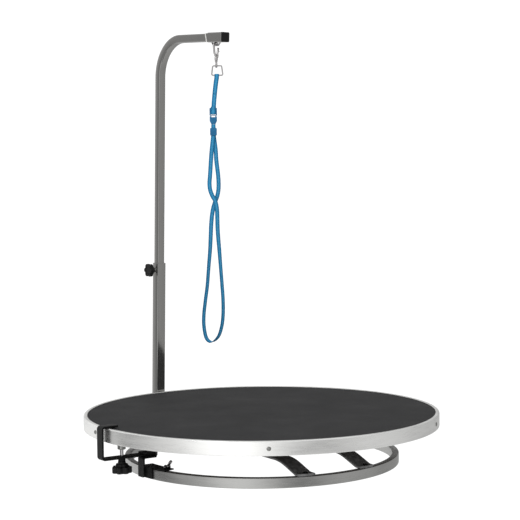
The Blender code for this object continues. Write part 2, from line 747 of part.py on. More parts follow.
def make_sleeve_lever(look):
    """A small cam lever whose hub turns on a pin in the fork."""
    frame = lever_frame()
    pin = turned([(0.0013, -0.0078), (0.0013, 0.0066), (0.0024, 0.0066), (0.0024, 0.0078)], 12)
    add("lever_pin", moved(pin, frame @ along_x()), look["chrome"])
    axis = empty("sleeve_lever_axis", frame)
    ends = (-0.0038, 0.0038)
    hub = pipe([level(circle(0.0034, 16), z) for z in ends], [level(circle(0.0016, 16), z) for z in ends])
    lever = add("sleeve_lever", moved(hub, along_x()), look["chrome"], axis)
    grip = [(0.0022, 0.0024), (0.0026, 0.0040), (0.0034, 0.0120), (0.0034, 0.0175), (0.0022, 0.0190)]
    tilt = Matrix.Rotation(math.radians(-45), 4, "X")
    boolean(lever, moved(turned(grip, 16), tilt), "UNION", tag="grip")


def make_lock_screw(look):
    """The pad slides up and down; the screw and its knob turn under it."""
    centre = facing(LOCK_ANGLE) @ Vector((LOCK_SCREW_AT, 0, 0))
    slide = empty("lock_pad_slide", centre)
    turn = empty("lock_knob_axis", (0, 0, 0), slide)
    high = RIM_BOTTOM + BAND_THICK
    low = high - PAD_HEIGHT
    outer = [(0.0084, low), (0.0090, low + 0.0008), (0.0090, high - 0.0006), (0.0084, high)]
    pad = add("lock_pad", turned(outer, 24), look["zinc"], slide)
    neck = LOCK_SCREW_RADIUS - 0.0010
    boolean(pad, prism(circle(neck + GAP, 20), low - 0.001, low + PAD_SOCKET + GAP), tag="socket")
    rod = [
        (LOCK_SCREW_RADIUS, LOCK_KNOB_LOW + 0.0040),
        (LOCK_SCREW_RADIUS, low - 0.0010),
        (neck, low - GAP),
        (neck, low + PAD_SOCKET),
    ]
    add("lock_screw", turned(rod, 20), look["chrome"], turn)
    shape = star_knob(0.0218, 0.0138, LOCK_KNOB_TOP - LOCK_KNOB_LOW, 0.0140)
    knob = add("lock_knob", moved(shape, (0, 0, LOCK_KNOB_LOW)), look["black_plastic"], turn)
    rod_hole = prism(circle(LOCK_SCREW_RADIUS + GAP, 20), LOCK_KNOB_LOW + 0.0037, LOCK_KNOB_TOP + 0.002)
    boolean(knob, rod_hole, tag="rod_hole")


# ---------------------------------------------------------------- pole
def pole_matrix():
    """The pole's frame: origin on the floor, +Z up the pole, +X towards the table's axis."""
    inward = Matrix.Rotation(math.radians(POLE_ANGLE + 90), 4, "Z")
    lean = Matrix.Rotation(math.radians(POLE_LEAN), 4, "Y")
    return Matrix.Translation(spot(POLE_ANGLE, POLE_AT)) @ inward @ lean


def square_pipe(size, wall, low, high, corner=0.0020):
    outline = rectangle(size, size, corner)
    inside = rectangle(size - 2 * wall, size - 2 * wall, corner / 2)
    return pipe([level(outline, low), level(outline, high)], [level(inside, low), level(inside, high)])


def square_stack(steps):
    """A solid whose square section changes from level to level: (size, z) pairs that run upwards."""
    return loft([level(rectangle(size, size, 0.0012), z) for size, z in steps])


def make_pole_mount(look, pole):
    """A bracket bolted to the ring, with the square socket that the pole stands in welded to its end."""
    thick, width, low = 0.0060, 0.0400, RING_HEIGHT + GAP
    reach = POLE_AT - SOCKET_SIZE / 2 + 0.0010
    corners = [(0.2850, -width / 2), (reach, -width / 2), (reach, width / 2), (0.2850, width / 2)]
    frame = facing(POLE_ANGLE)
    shape = prism(rounded(corners, [0.004, 0, 0, 0.004], 3), low, low + thick)
    bracket = add("pole_bracket", shape, look["black_coat"], place=frame)
    hole = prism(circle(BOLT_HOLE, 12), low - 0.002, low + thick + 0.002)
    spots = bracket_spots()
    boolean(bracket, together(*[moved(hole, frame.inverted() @ p) for p in spots]), tag="bolt_holes")
    screw = bolt(0.0052, 0.0030, BOLT_SHANK, thick + 0.0075, socket=0.0040)
    rise = Vector((0, 0, low + thick + GAP))
    add_each("pole_bracket_bolt", screw, look["black_coat"], [p + rise for p in spots])

    wall = (SOCKET_SIZE - LOWER_TUBE) / 2 - GAP
    upright = frame.inverted() @ pole_matrix()
    boolean(bracket, moved(square_pipe(SOCKET_SIZE, wall, 0.0030, 0.0720), upright), "UNION", tag="socket")
    sideways = Matrix.Rotation(math.radians(-90), 4, "Y")
    seat = Matrix.Translation((-SOCKET_SIZE / 2 - GAP, 0, 0.0520)) @ sideways
    screw_hole = moved(prism(circle(BOLT_HOLE, 12), -0.0055, 0.0055), seat)
    boolean(bracket, moved(screw_hole, upright), tag="screw_hole")
    set_screw = bolt(0.0052, 0.0030, BOLT_SHANK, wall, socket=0.0040)
    add("pole_socket_screw", moved(set_screw, seat), look["zinc"], pole)


def knob_place():
    """On the pole's -Y side at the arm's knob, with +Z pointing out of that side."""
    return Matrix.Translation((0, 0, ARM_KNOB_HEIGHT)) @ Matrix.Rotation(math.radians(90), 4, "X")


def make_lower_tube(look, pole):
    shape = square_pipe(LOWER_TUBE, LOWER_WALL, LOWER_BOTTOM, LOWER_TOP)
    tube = add("pole_lower_tube", shape, look["pole_steel"], pole)
    knob_hole = moved(prism(circle(0.0034, 16), 0.0060, 0.0160), knob_place())
    boolean(tube, knob_hole, tag="knob_hole")
    inside = LOWER_TUBE - 2 * LOWER_WALL
    plug = [
        (LOWER_TUBE - 0.001, 0.0008),
        (LOWER_TUBE, 0.0016),
        (LOWER_TUBE, LOWER_BOTTOM - GAP),
        (inside - 2 * GAP, LOWER_BOTTOM - GAP),
        (inside - 2 * GAP, 0.0180),
    ]
    add("pole_foot_plug", square_stack(plug), look["black_plastic"], pole)
    wall = (inside - UPPER_TUBE) / 2 - 2 * GAP
    shape = square_pipe(inside - 2 * GAP, wall, LOWER_TOP - 0.0500, LOWER_TOP - 0.0006)
    bush = add("pole_guide_bush", shape, look["nylon"], pole)
    boolean(bush, knob_hole, tag="knob_hole")


def make_arm_knob(look, pole):
    """A knob on the pole's side whose screw presses on the upper tube through a soft tip."""
    here = knob_place()
    face, tube_face = LOWER_TUBE / 2, UPPER_TUBE / 2
    boss = [level(circle(r, 16), z) for r, z in ((0.0060, face + GAP), (0.0056, face + 0.0050))]
    bore = [level(circle(0.0032, 16), z) for z in (face + GAP, face + 0.0050)]
    add("arm_knob_nut", pipe(boss, bore), look["zinc"], pole, here)
    slide = empty("arm_knob_slide", here, pole)
    turn = empty("arm_knob_axis", (0, 0, 0), slide)
    tip_high = tube_face + 0.0016
    add("arm_knob_tip", turned([(0.0026, tube_face + GAP), (0.0028, tip_high)], 16), look["nylon"], slide)
    rod = [(0.0029, tip_high + GAP), (0.0029, face + 0.0180)]
    add("arm_knob_screw", turned(rod, 16), look["zinc"], turn)
    flip = Matrix.Translation((0, 0, face + 0.0230)) @ Matrix.Rotation(math.pi, 4, "X")
    shape = star_knob(0.0170, 0.0112, 0.0175, 0.0100, 6)
    knob = add("arm_knob", moved(shape, flip), look["black_plastic"], turn)
    boolean(knob, prism(circle(0.0029 + GAP, 16), face + 0.0040, face + 0.0180 + GAP), tag="rod_hole")


# ---------------------------------------------------------------- arm
def bend_end():
    """The frame where the arm leaves its bend: origin on the centre line, +X along the arm."""
    droop = math.radians(BEND_ANGLE - 90)
    back = BEND_RADIUS * math.tan(math.radians(BEND_ANGLE) / 2)
    x, z = back * math.cos(droop), ARM_CORNER - back * math.sin(droop)
    return Matrix.Translation((x, 0, z)) @ Matrix.Rotation(droop, 4, "Y")


def arm_path():
    """The upper tube's centre line in the pole's XZ plane."""
    back = BEND_RADIUS * math.tan(math.radians(BEND_ANGLE) / 2)
    bend = arc((BEND_RADIUS, ARM_CORNER - back), BEND_RADIUS, 180, 180 - BEND_ANGLE, 10)
    end = bend_end() @ Vector((along_arm(ARM_REACH), 0, 0))
    return [(0.0, UPPER_BOTTOM), *bend, (end.x, end.z)]


def along_arm(reach):
    """How far along the arm, from its bend, it is that far from the pole."""
    frame = bend_end()
    return (reach - frame.translation.x) / frame.col[0].x


def make_arm(look, pole):
    """The upper tube with its end fittings. Returns the bail's bar and its frame in the pole's frame."""
    slide = empty("arm_slide", (0, 0, 0), pole)
    inside = UPPER_TUBE - 2 * UPPER_WALL
    outer = carry(arm_path(), rectangle(UPPER_TUBE, UPPER_TUBE, 0.0020))
    inner = carry(arm_path(), rectangle(inside, inside, 0.0010))
    add("arm_tube", pipe(outer, inner), look["pole_steel"], slide)
    arm = empty("arm_end_frame", bend_end(), slide)

    wall = (SLEEVE_SIZE - UPPER_TUBE) / 2 - GAP
    start, end = along_arm(SLEEVE_START), along_arm(ARM_REACH)
    shape = square_pipe(SLEEVE_SIZE, wall, start, end, 0.0022)
    add("arm_end_sleeve", moved(shape, along_x()), look["pole_steel"], arm)
    make_arm_cap(look, arm, inside)
    make_arm_band(look, arm, start)
    at = along_arm(BAIL_AT)
    make_bail(look, arm, at)
    return bend_end() @ Vector((at, 0, -SLEEVE_SIZE / 2 - BAIL_DEPTH))


def make_arm_cap(look, arm, inside):
    """A plastic cap against the arm's end, with a plug inside the tube."""
    mouth = along_arm(ARM_REACH) + GAP
    tip = mouth + CAP_FLANGE
    outline = [(SLEEVE_SIZE, mouth), (SLEEVE_SIZE, tip - 0.0010), (SLEEVE_SIZE - 0.0020, tip)]
    cap = add("arm_end_cap", moved(square_stack(outline), along_x()), look["black_plastic"], arm)
    plug = square_stack([(inside - 2 * GAP, mouth - 0.0110), (inside - 2 * GAP, mouth + 0.0010)])
    boolean(cap, moved(plug, along_x()), "UNION", tag="plug")


def make_arm_band(look, arm, sleeve_start):
    """A thin band that slants round the arm just behind its end sleeve."""
    middle, half = sleeve_start - 0.0062, 0.0018
    shape = square_pipe(UPPER_TUBE + 0.0022, 0.0011 - GAP, middle - half, middle + half)
    slant = Matrix.Identity(4)
    slant[0][2] = -0.3
    add("arm_band", moved(moved(shape, along_x()), slant), look["light_band"], arm)


def make_bail(look, arm, at):
    """The wire loop under the arm's end sleeve."""
    top, low = -SLEEVE_SIZE / 2 - GAP, -SLEEVE_SIZE / 2 - BAIL_DEPTH
    corners = [
        (at - BAIL_LEGS, top),
        (at - BAIL_LEGS, top - 0.0022),
        (at - BAIL_FLAT, low),
        (at + BAIL_FLAT, low),
        (at + BAIL_LEGS, top - 0.0022),
        (at + BAIL_LEGS, top),
    ]
    path = rounded(corners, [0, 0.003, 0.004, 0.004, 0.003, 0], 4, closed=False)
    add("hook_bail", wire(path, BAIL_WIRE), look["chrome"], arm)


# ---------------------------------------------------------------- snap hook and ring
def make_hook_body(look, hook):
    """A wire hook over the bail's bar that runs down into a barrel."""
    top = BAIL_WIRE + GAP
    radius = HOOK_INNER + HOOK_WIRE
    over = arc((0.0, top - HOOK_INNER), radius, 180, 5, 12)
    spine = [(0.0, -0.0285), (-0.0012, -0.0255), (-0.0034, -0.0215), (-0.0052, -0.0160), (-0.0058, -0.0090)]
    body = add("snap_hook_body", wire([*spine, *over], HOOK_WIRE), look["chrome"], hook)
    low, high = BARREL
    barrel = turned([(0.0034, low), (0.0040, low + 0.0008), (0.0040, high - 0.0006), (0.0030, high)], 20)
    boolean(body, barrel, "UNION", tag="barrel")
    outline = [(-0.0010, high - 0.0040), (0.0040, high - 0.0040), *arc(GATE_PIVOT, 0.0022, 0, 120, 5)]
    cheeks = []
    for side in (-1, 1):
        cheek = moved(prism(outline, -0.0006, 0.0006), stood_in_xz())
        cheeks.append(moved(cheek, (0, side * 0.0024, 0)))
    boolean(body, together(*cheeks), "UNION", tag="cheeks")
    floor, roof = high + 0.0006, high + 0.0100
    room = [(0.0004, floor), (0.0080, floor), (0.0080, roof), (0.0004, roof)]
    boolean(body, moved(prism(room, -0.0018, 0.0018), stood_in_xz()), tag="gate_room")
    shaft = prism(circle(SWIVEL_STEM + GAP, 12), low - 0.002, high - 0.0010)
    head_room = prism(circle(SWIVEL_HEAD + GAP, 12), high - 0.0045, high - 0.0010)
    boolean(body, shaft, tag="swivel_bore")
    boolean(body, head_room, tag="swivel_head_room")
    pin = prism(circle(GATE_PIN, 10), -0.0028, 0.0028)
    boolean(body, moved(pin, gate_pin_place()), "UNION", tag="gate_pin")


def gate_pin_place():
    return Matrix.Translation((GATE_PIVOT[0], 0, GATE_PIVOT[1])) @ Matrix.Rotation(math.radians(90), 4, "X")


def make_snap_gate(look, hook):
    """The sprung gate that closes the hook, with its thumb piece."""
    axis = empty("snap_gate_axis", (GATE_PIVOT[0], 0, GATE_PIVOT[1]), hook)
    ends = (-0.0014, 0.0014)
    bore = [level(circle(GATE_PIN + GAP, 12), z) for z in ends]
    hub = pipe([level(circle(0.0019, 12), z) for z in ends], bore)
    lie = Matrix.Rotation(math.radians(90), 4, "X")
    gate = add("snap_gate", moved(hub, lie), look["chrome"], axis)
    nose_x = HOOK_INNER + HOOK_WIRE
    tip = Vector((nose_x - GATE_PIVOT[0], BAIL_WIRE - HOOK_INNER - HOOK_WIRE - 0.0006 - GATE_PIVOT[1]))
    lean = Matrix.Rotation(math.atan2(tip.x, tip.y), 4, "Y")
    far = tip.length
    bar = turned([(0.0011, 0.0015), (0.0015, 0.0030), (0.0015, far - 0.0008), (0.0011, far)], 10)
    boolean(gate, moved(bar, lean), "UNION", tag="bar")
    nub = rounded([(0.0006, 0.0065), (0.0042, 0.0085), (0.0046, 0.0105), (0.0006, 0.0110)], 0.0007, 3)
    boolean(gate, moved(moved(prism(nub, -0.0011, 0.0011), stood_in_xz()), lean), "UNION", tag="thumb")


def make_swivel(look, swivel):
    """The eye below the hook; its headed stem turns in the barrel."""
    across, up = EYE_HALF
    turn = 2 * math.pi / 20
    oval = [(across * math.cos(i * turn), EYE_CENTRE + up * math.sin(i * turn)) for i in range(20)]
    quarter = Matrix.Rotation(math.radians(90), 4, "Z")
    eye = add("snap_swivel_eye", moved(wire(oval, LINK_WIRE, closed=True), quarter), look["chrome"], swivel)
    head_low, head_high = BARREL[1] - 0.0042, BARREL[1] - 0.0013
    stem = [
        (SWIVEL_STEM, EYE_CENTRE + up - 0.0004),
        (SWIVEL_STEM, head_low),
        (SWIVEL_HEAD, head_low),
        (SWIVEL_HEAD, head_high),
    ]
    boolean(eye, turned(stem, 12), "UNION", tag="stem")


def make_noose_ring(look, swing):
    """A flat-sided wire ring, wider at the bottom; its origin is on its top bar."""
    drop = RING_BOTTOM - RING_TOP
    corners = [(-0.0104, 0.0), (-0.01335, drop), (0.01335, drop), (0.0104, 0.0)]
    path = rounded(corners, [0.0028, 0.0034, 0.0034, 0.0028], 4)
    add("noose_ring", wire(path, LINK_WIRE, closed=True), look["chrome"], swing)


# ---------------------------------------------------------------- noose
def smooth_points(route, step):
    """Points about one step apart on a smooth curve through the route's points."""
    points = [Vector(p) for p in route]
    padded = [2 * points[0] - points[1], *points, 2 * points[-1] - points[-2]]
    out = []
    for i in range(1, len(padded) - 2):
        a, b, c, d = padded[i - 1 : i + 3]
        pieces = max(1, round((c - b).length / step))
        for k in range(pieces):
            t = k / pieces
            cubic = (3 * b - a - 3 * c + d) * t**3
            out.append(0.5 * (2 * b + (c - a) * t + (2 * a - 5 * b + 4 * c - d) * t**2 + cubic))
    return [*out, points[-1]]


def add_cord(name, route, step, finish, parent):
    curve = bpy.data.curves.new(name, "CURVE")
    curve.dimensions = "3D"
    curve.bevel_depth = WEB_TUBE
    curve.bevel_resolution = 2
    curve.use_fill_caps = True
    points = smooth_points(route, step)
    spline = curve.splines.new("POLY")
    spline.points.add(len(points) - 1)
    for target, p in zip(spline.points, points):
        target.co = (*p, 1.0)
    curve.materials.append(finish)
    made = bpy.data.objects.new(name, curve)
    bpy.context.scene.collection.objects.link(made)
    made.parent = parent


def buckle_block(outline, thick):
    """A flat block whose (x, z) outline stands upright and faces the front."""
    return moved(prism(outline, -thick / 2, thick / 2), stood_in_xz())


def upright(width, low, high, corner):
    """A rounded (x, z) outline between two heights."""
    return [(x, (low + high) / 2 + z) for x, z in rectangle(width, high - low, corner, 4)]


def make_buckle(look, noose, loop):
    """A side-release buckle: the half with prongs above, the half with the socket below."""
    blue = look["blue_plastic"]
    prong_low, body_low = MALE[0] - 0.0070, MALE[0]
    block = buckle_block(upright(0.0175, body_low, MALE[1], 0.0016), 0.0070)
    male = add("buckle_male", block, blue, noose, (BUCKLE_X, 0, 0))
    boolean(male, buckle_block(upright(0.0112, 0.8085, 0.8115, 0.0009), 0.03), tag="web_slot")
    prong = prism(rectangle(0.0022, 0.0024), prong_low, body_low + 0.0010)
    prongs = [moved(prong, (x, 0, 0)) for x in (-0.0046, 0, 0.0046)]
    boolean(male, together(*prongs), "UNION", tag="prongs")

    low, high = FEMALE
    shoulder = low + 0.0070
    right = [(0.0050, low), (0.0085, shoulder), (0.0085, high)]
    sides = right + [(-x, z) for x, z in reversed(right)]
    shape = buckle_block(rounded(sides, 0.0012, 3), 0.0070)
    female = add("buckle_female", shape, blue, loop, (BUCKLE_X, 0, 0))
    boolean(female, prism(rectangle(0.0124, 0.0040), prong_low - 0.0010, high + 0.0020), tag="socket")


def make_slider(look, slide):
    low, high = SLIDER
    block = buckle_block(upright(0.0157, low, high, 0.0020), 0.0098)
    slider = add("noose_slider", block, look["blue_plastic"], slide, (BUCKLE_X - 0.0002, 0, 0))
    boolean(slider, prism(rectangle(0.0116, 0.0074, 0.0006, 1), low - 0.003, high + 0.003), tag="throat")


def make_noose(look, bail):
    """Everything that hangs from the bail's bar, from the hook down."""
    across = Matrix.Rotation(math.radians(POLE_ANGLE + 180), 4, "Z")
    hook = empty("hook_axis", Matrix.Translation(bail) @ across)
    make_hook_body(look, hook)
    make_snap_gate(look, hook)
    make_swivel(look, empty("swivel_axis", bail))
    make_noose_ring(look, empty("ring_axis", bail + Vector((RING_SHIFT, 0, RING_TOP))))
    bar = empty("noose_axis", bail + Vector((0, 0, RING_BOTTOM)))
    noose = empty("noose_frame", (0, 0, -RING_BOTTOM - BAIL_HEIGHT), bar)
    add_cord("hanger_webbing", HANGER_ROUTE, 0.0090, look["webbing"], noose)
    loop = empty("buckle_slide", (0, 0, 0), noose)
    slide = empty("slider_slide", (0, 0, 0), loop)
    make_buckle(look, noose, loop)
    add_cord("noose_webbing", LOOP_ROUTE, 0.0180, look["webbing"], loop)
    make_slider(look, slide)


def build():
    clear_scene()
    look = finishes()
    make_base_ring(look)
    make_support_bars(look)
    make_base_bolts(look)
    make_lower_bearing(look)
    top = empty("tabletop_axis", (0, 0, 0))
    plate_screws = make_upper_bearing(look, top)
    make_pivot(look, top)
    make_tabletop(look, top, plate_screws)
    make_lock_frame(look)
    make_lock_bracket(look)
    make_lock_sleeve(look)
    make_sleeve_lever(look)
    make_lock_screw(look)
    pole = empty("pole_frame", pole_matrix())
    make_pole_mount(look, pole)
    make_lower_tube(look, pole)
    make_arm_knob(look, pole)
    make_noose(look, pole_matrix() @ make_arm(look, pole))


build()
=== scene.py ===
"""The looks of the round grooming table: fine surfaces, webbing, materials, light and camera."""

import json
import math

import bmesh
import bpy
from mathutils import Matrix, Vector


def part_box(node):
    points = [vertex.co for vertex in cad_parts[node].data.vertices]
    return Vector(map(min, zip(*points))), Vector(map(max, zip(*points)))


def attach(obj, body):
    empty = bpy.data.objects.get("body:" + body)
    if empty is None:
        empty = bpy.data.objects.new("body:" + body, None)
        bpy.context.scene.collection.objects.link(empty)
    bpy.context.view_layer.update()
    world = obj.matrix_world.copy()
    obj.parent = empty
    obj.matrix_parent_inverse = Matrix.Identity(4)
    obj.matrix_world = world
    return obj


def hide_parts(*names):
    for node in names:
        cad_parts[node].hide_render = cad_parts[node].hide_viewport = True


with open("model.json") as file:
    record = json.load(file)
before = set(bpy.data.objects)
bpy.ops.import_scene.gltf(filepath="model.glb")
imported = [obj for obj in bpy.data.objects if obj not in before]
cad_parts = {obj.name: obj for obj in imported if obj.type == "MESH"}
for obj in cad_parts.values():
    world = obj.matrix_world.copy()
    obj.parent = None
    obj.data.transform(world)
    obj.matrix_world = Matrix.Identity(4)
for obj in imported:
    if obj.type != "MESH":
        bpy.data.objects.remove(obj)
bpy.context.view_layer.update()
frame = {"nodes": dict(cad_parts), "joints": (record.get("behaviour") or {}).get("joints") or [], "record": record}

NODES = frame["nodes"]

# ---------------------------------------------------------------- dimensions shared with the frame
TABLE_RADIUS = 0.4050
BAND_THICK = 0.0015
BAND_LIP = 0.0085
BAND_HEM = 0.0060
RING_WIDTH = 0.0155
POLE_ANGLE = -142.2
POLE_AT = 0.4270
POLE_LEAN = 1.95
LOWER_TUBE = 0.0240
UPPER_TUBE = 0.0190
TUBE_WALL = 0.0015
TUBE_CORNER = 0.0024
TUBE_RIM = 0.0004  # how far a tube's outer edge is broken at its ends
LOWER_BOTTOM = 0.0040
LOWER_TOP = 0.4395
UPPER_BOTTOM = 0.2400
BEND_RADIUS = 0.0900
BEND_ANGLE = 91.5
BEND_BACK = BEND_RADIUS * math.tan(math.radians(BEND_ANGLE) / 2)
ARM_CORNER = 0.9932
ARM_REACH = 0.2680
CAP_FLANGE = 0.0030
SLEEVE_START = 0.2130
SLEEVE_SIZE = 0.0230
BAIL_AT = 0.2340
BAIL_WIRE = 0.0020
BAIL_LEGS = 0.0150
BAIL_FLAT = 0.0080
BAIL_DEPTH = 0.0070
RIM_SCREW_ANGLES = (-62.6, 2, 71.9, 147, 222)
LOCK_ANGLE = -56.3
LOCK_SCREW_AT = 0.3630
ARM_KNOB_HEIGHT = 0.4223
ARM_KNOB_OUT = 0.0230
WEB_WIDTH = 0.0100
WEB_THICK = 0.0017
HANGER_WIDTH = 0.0108
FOLD_LENGTH = 0.0440  # how far the hanger is doubled below its ring
LOOP_FOOT_TILT = 0.16  # how far the strap at the foot leans up at its back
LOOP_TURN = 38.0  # degrees that the loop's strap turns away at its foot

RING_STEPS = 240
WIRE_SIDES = 16
STRAP_SIDES = 28
LOBE_STEPS = 14
EYE_STEPS = 40
SHARP = 35  # degrees between two faces from which their edge is drawn sharp
STRAP_SHARP = 75


# ---------------------------------------------------------------- geometry helpers
def arc(centre, radius, start, end, count):
    angles = [math.radians(start + (end - start) * i / count) for i in range(count + 1)]
    return [(centre[0] + radius * math.cos(a), centre[1] + radius * math.sin(a)) for a in angles]


def circle(radius, count):
    turn = 2 * math.pi / count
    return [(radius * math.cos(i * turn), radius * math.sin(i * turn)) for i in range(count)]


def soft_rectangle(width, height, radius, count=5):
    """A rectangle with round corners, anticlockwise."""
    w, h = width / 2 - radius, height / 2 - radius
    points = []
    for i, (x, y) in enumerate(((w, h), (-w, h), (-w, -h), (w, -h))):
        points += arc((x, y), radius, 90 * i, 90 * i + 90, count)
    return points


def rounded(points, radius, count, closed=True):
    """The polygon with each corner rounded; radius is one number or one for each corner."""
    radii = radius if isinstance(radius, (list, tuple)) else [radius] * len(points)
    out = []
    for i, p in enumerate(points):
        if radii[i] <= 0 or (not closed and i in (0, len(points) - 1)):
            out.append(tuple(p))
            continue
        here = Vector(p)
        before = (Vector(points[i - 1]) - here).normalized()
        after = (Vector(points[(i + 1) % len(points)]) - here).normalized()
        half = before.angle(after) / 2
        centre = here + (before + after).normalized() * radii[i] / math.sin(half)
        first = here + before * radii[i] / math.tan(half) - centre
        last = here + after * radii[i] / math.tan(half) - centre
        total = first.angle_signed(last)
        for k in range(count + 1):
            a = -total * k / count
            x = first.x * math.cos(a) - first.y * math.sin(a)
            y = first.x * math.sin(a) + first.y * math.cos(a)
            out.append((centre.x + x, centre.y + y))
    return out


def loft(rings, cyclic=False):
    """A skin over the rings: closed at both ends, or joined round from the last to the first."""
    count = len(rings[0])
    points = [Vector(p) for ring in rings for p in ring]
    faces = []
    for i in range(len(rings) if cyclic else len(rings) - 1):
        a, b = i * count, (i + 1) % len(rings) * count
        faces += [(a + j, a + (j + 1) % count, b + (j + 1) % count, b + j) for j in range(count)]
    if not cyclic:
        faces.append(tuple(reversed(range(count))))
        faces.append(tuple(range(len(points) - count, len(points))))
    return points, faces


def level(outline, z):
    return [(x, y, z) for x, y in outline]


def turned(profile, count):
    return loft([level(circle(max(r, 1e-5), count), z) for r, z in profile])


def turned_ring(profile):
    """A closed (radius, z) outline swept once round Z."""
    rings = [[(r * x, r * y, z) for r, z in profile] for x, y in circle(1, RING_STEPS)]
    return loft(rings, cyclic=True)


def carry(path, section, closed=False):
    """Rings of a section (across, side) along a path in the XZ plane; side is along Y."""
    rings = []
    last = len(path) - 1
    for i, p in enumerate(path):
        before = path[i - 1] if (closed or i > 0) else None
        after = path[(i + 1) % len(path)] if (closed or i < last) else None
        into = Vector(p) - Vector(before) if before else Vector(after) - Vector(p)
        out = Vector(after) - Vector(p) if after else into
        into.normalize()
        out.normalize()
        tangent = (into + out).normalized()
        stretch = 1 / max(0.3, tangent.dot(out))
        across = Vector((-tangent.y, tangent.x)) * stretch
        rings.append([(p[0] + across.x * u, v, p[1] + across.y * u) for u, v in section])
    return rings


def wire(path, radius, closed=False):
    return loft(carry(path, circle(radius, WIRE_SIDES), closed), cyclic=closed)


def stood_in_xz():
    return Matrix(((1, 0, 0, 0), (0, 0, -1, 0), (0, 1, 0, 0), (0, 0, 0, 1)))


def slab(outline, low, high, edge, steps=3):
    """An outline raised from low to high with rounded edges; it shrinks evenly along its normals."""
    rings = []
    for i in range(steps + 1):
        a = math.pi / 2 * i / steps
        rings.append((edge * (1 - math.sin(a)), low + edge * (1 - math.cos(a))))
    rings += [(inset, low + high - z) for inset, z in reversed(rings)]
    return loft([level(inset_outline(outline, inset), z) for inset, z in rings])


def inset_outline(outline, by):
    """The outline (anticlockwise) moved in by that much along each point's normal."""
    out = []
    for i, p in enumerate(outline):
        a, b = Vector(outline[i - 1]), Vector(outline[(i + 1) % len(outline)])
        along = (b - a).normalized()
        out.append((p[0] - along.y * by, p[1] + along.x * by))
    return out


def moved(shape, place):
    matrix = place if isinstance(place, Matrix) else Matrix.Translation(place)
    return [matrix @ p for p in shape[0]], shape[1]


def facing(angle):
    """X turned outwards at that angle; 0 degrees is the front, towards -Y."""
    return Matrix.Rotation(math.radians(angle - 90), 4, "Z")


def round_centre(angle, radius, z):
    a = math.radians(angle)
    return Vector((radius * math.sin(a), -radius * math.cos(a), z))


def along_x():
    return Matrix.Rotation(math.radians(90), 4, "Y")


def smoothed(route, step):
    """Points about one step apart on a smooth curve through the route's points."""
    points = [Vector(p) for p in route]
    padded = [2 * points[0] - points[1], *points, 2 * points[-1] - points[-2]]
    out = []
    for i in range(1, len(padded) - 2):
        a, b, c, d = padded[i - 1 : i + 3]
        pieces = max(1, round((c - b).length / step))
        for k in range(pieces):
            t = k / pieces
            cubic = (3 * b - a - 3 * c + d) * t**3
            out.append(0.5 * (2 * b + (c - a) * t + (2 * a - 5 * b + 4 * c - d) * t**2 + cubic))
    return [*out, points[-1]]


def mesh_of(name, shape):
    """A mesh of the shape with all its faces turned outwards."""
    mesh = bpy.data.meshes.new(name)
    mesh.from_pydata([tuple(p) for p in shape[0]], [], shape[1])
    work = bmesh.new()
    work.from_mesh(mesh)
    bmesh.ops.recalc_face_normals(work, faces=work.faces)
    work.to_mesh(mesh)
    work.free()
    return mesh


def smooth(mesh, sharp=SHARP):
    mesh.shade_smooth()
    mesh.set_sharp_from_angle(angle=math.radians(sharp))


def placed(name, data):
    made = bpy.data.objects.new(name, data)
    bpy.context.scene.collection.objects.link(made)
    return made


def piece(name, shape, body, stands_for, slot, sharp=SHARP):
    """A visible piece that rides on a body, stands for CAD nodes and wears its slot's look."""
    mesh = mesh_of(name, shape)
    smooth(mesh, sharp)
    mesh.materials.append(LOOKS[slot])
    made = placed(name, mesh)
    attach(made, body)
    if stands_for:
        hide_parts(*stands_for)
    return made


def cut(target, shape, operation="DIFFERENCE"):
    """Cuts a shape from a piece, or joins it on, and applies the result at once."""
    cutter = placed("cutter", mesh_of("cutter", shape))
    modifier = target.modifiers.new("cut", "BOOLEAN")
    modifier.operation = operation
    modifier.object = cutter
    with bpy.context.temp_override(object=target, active_object=target, selected_objects=[target]):
        bpy.ops.object.modifier_apply(modifier=modifier.name)
    bpy.data.objects.remove(cutter)
    smooth(target.data)


# ---------------------------------------------------------------- materials
def add_node(tree, kind, **values):
    """A new node; a value goes to the input of its name or, where there is none, to the setting."""
    made = tree.nodes.new(kind)
    for key, value in values.items():
        if key in made.inputs:
            made.inputs[key].default_value = value
        else:
            setattr(made, key, value)
    return made


def add_math(tree, operation, a, b=None):
    """A Math node on outputs or numbers."""
    made = add_node(tree, "ShaderNodeMath", operation=operation)
    for i, value in enumerate((a, b)):
        if isinstance(value, (int, float)):
            made.inputs[i].default_value = value
        elif value is not None:
            tree.links.new(value, made.inputs[i])
    return made.outputs[0]


def set_stops(ramp, stops):
    """Fills a colour ramp with its (position, rgb) stops."""
    line = ramp.color_ramp.elements
    while len(line) < len(stops):
        line.new(0.5)
    for element, (at, rgb) in zip(line, stops):
        element.position = at
        element.color = (*rgb, 1)


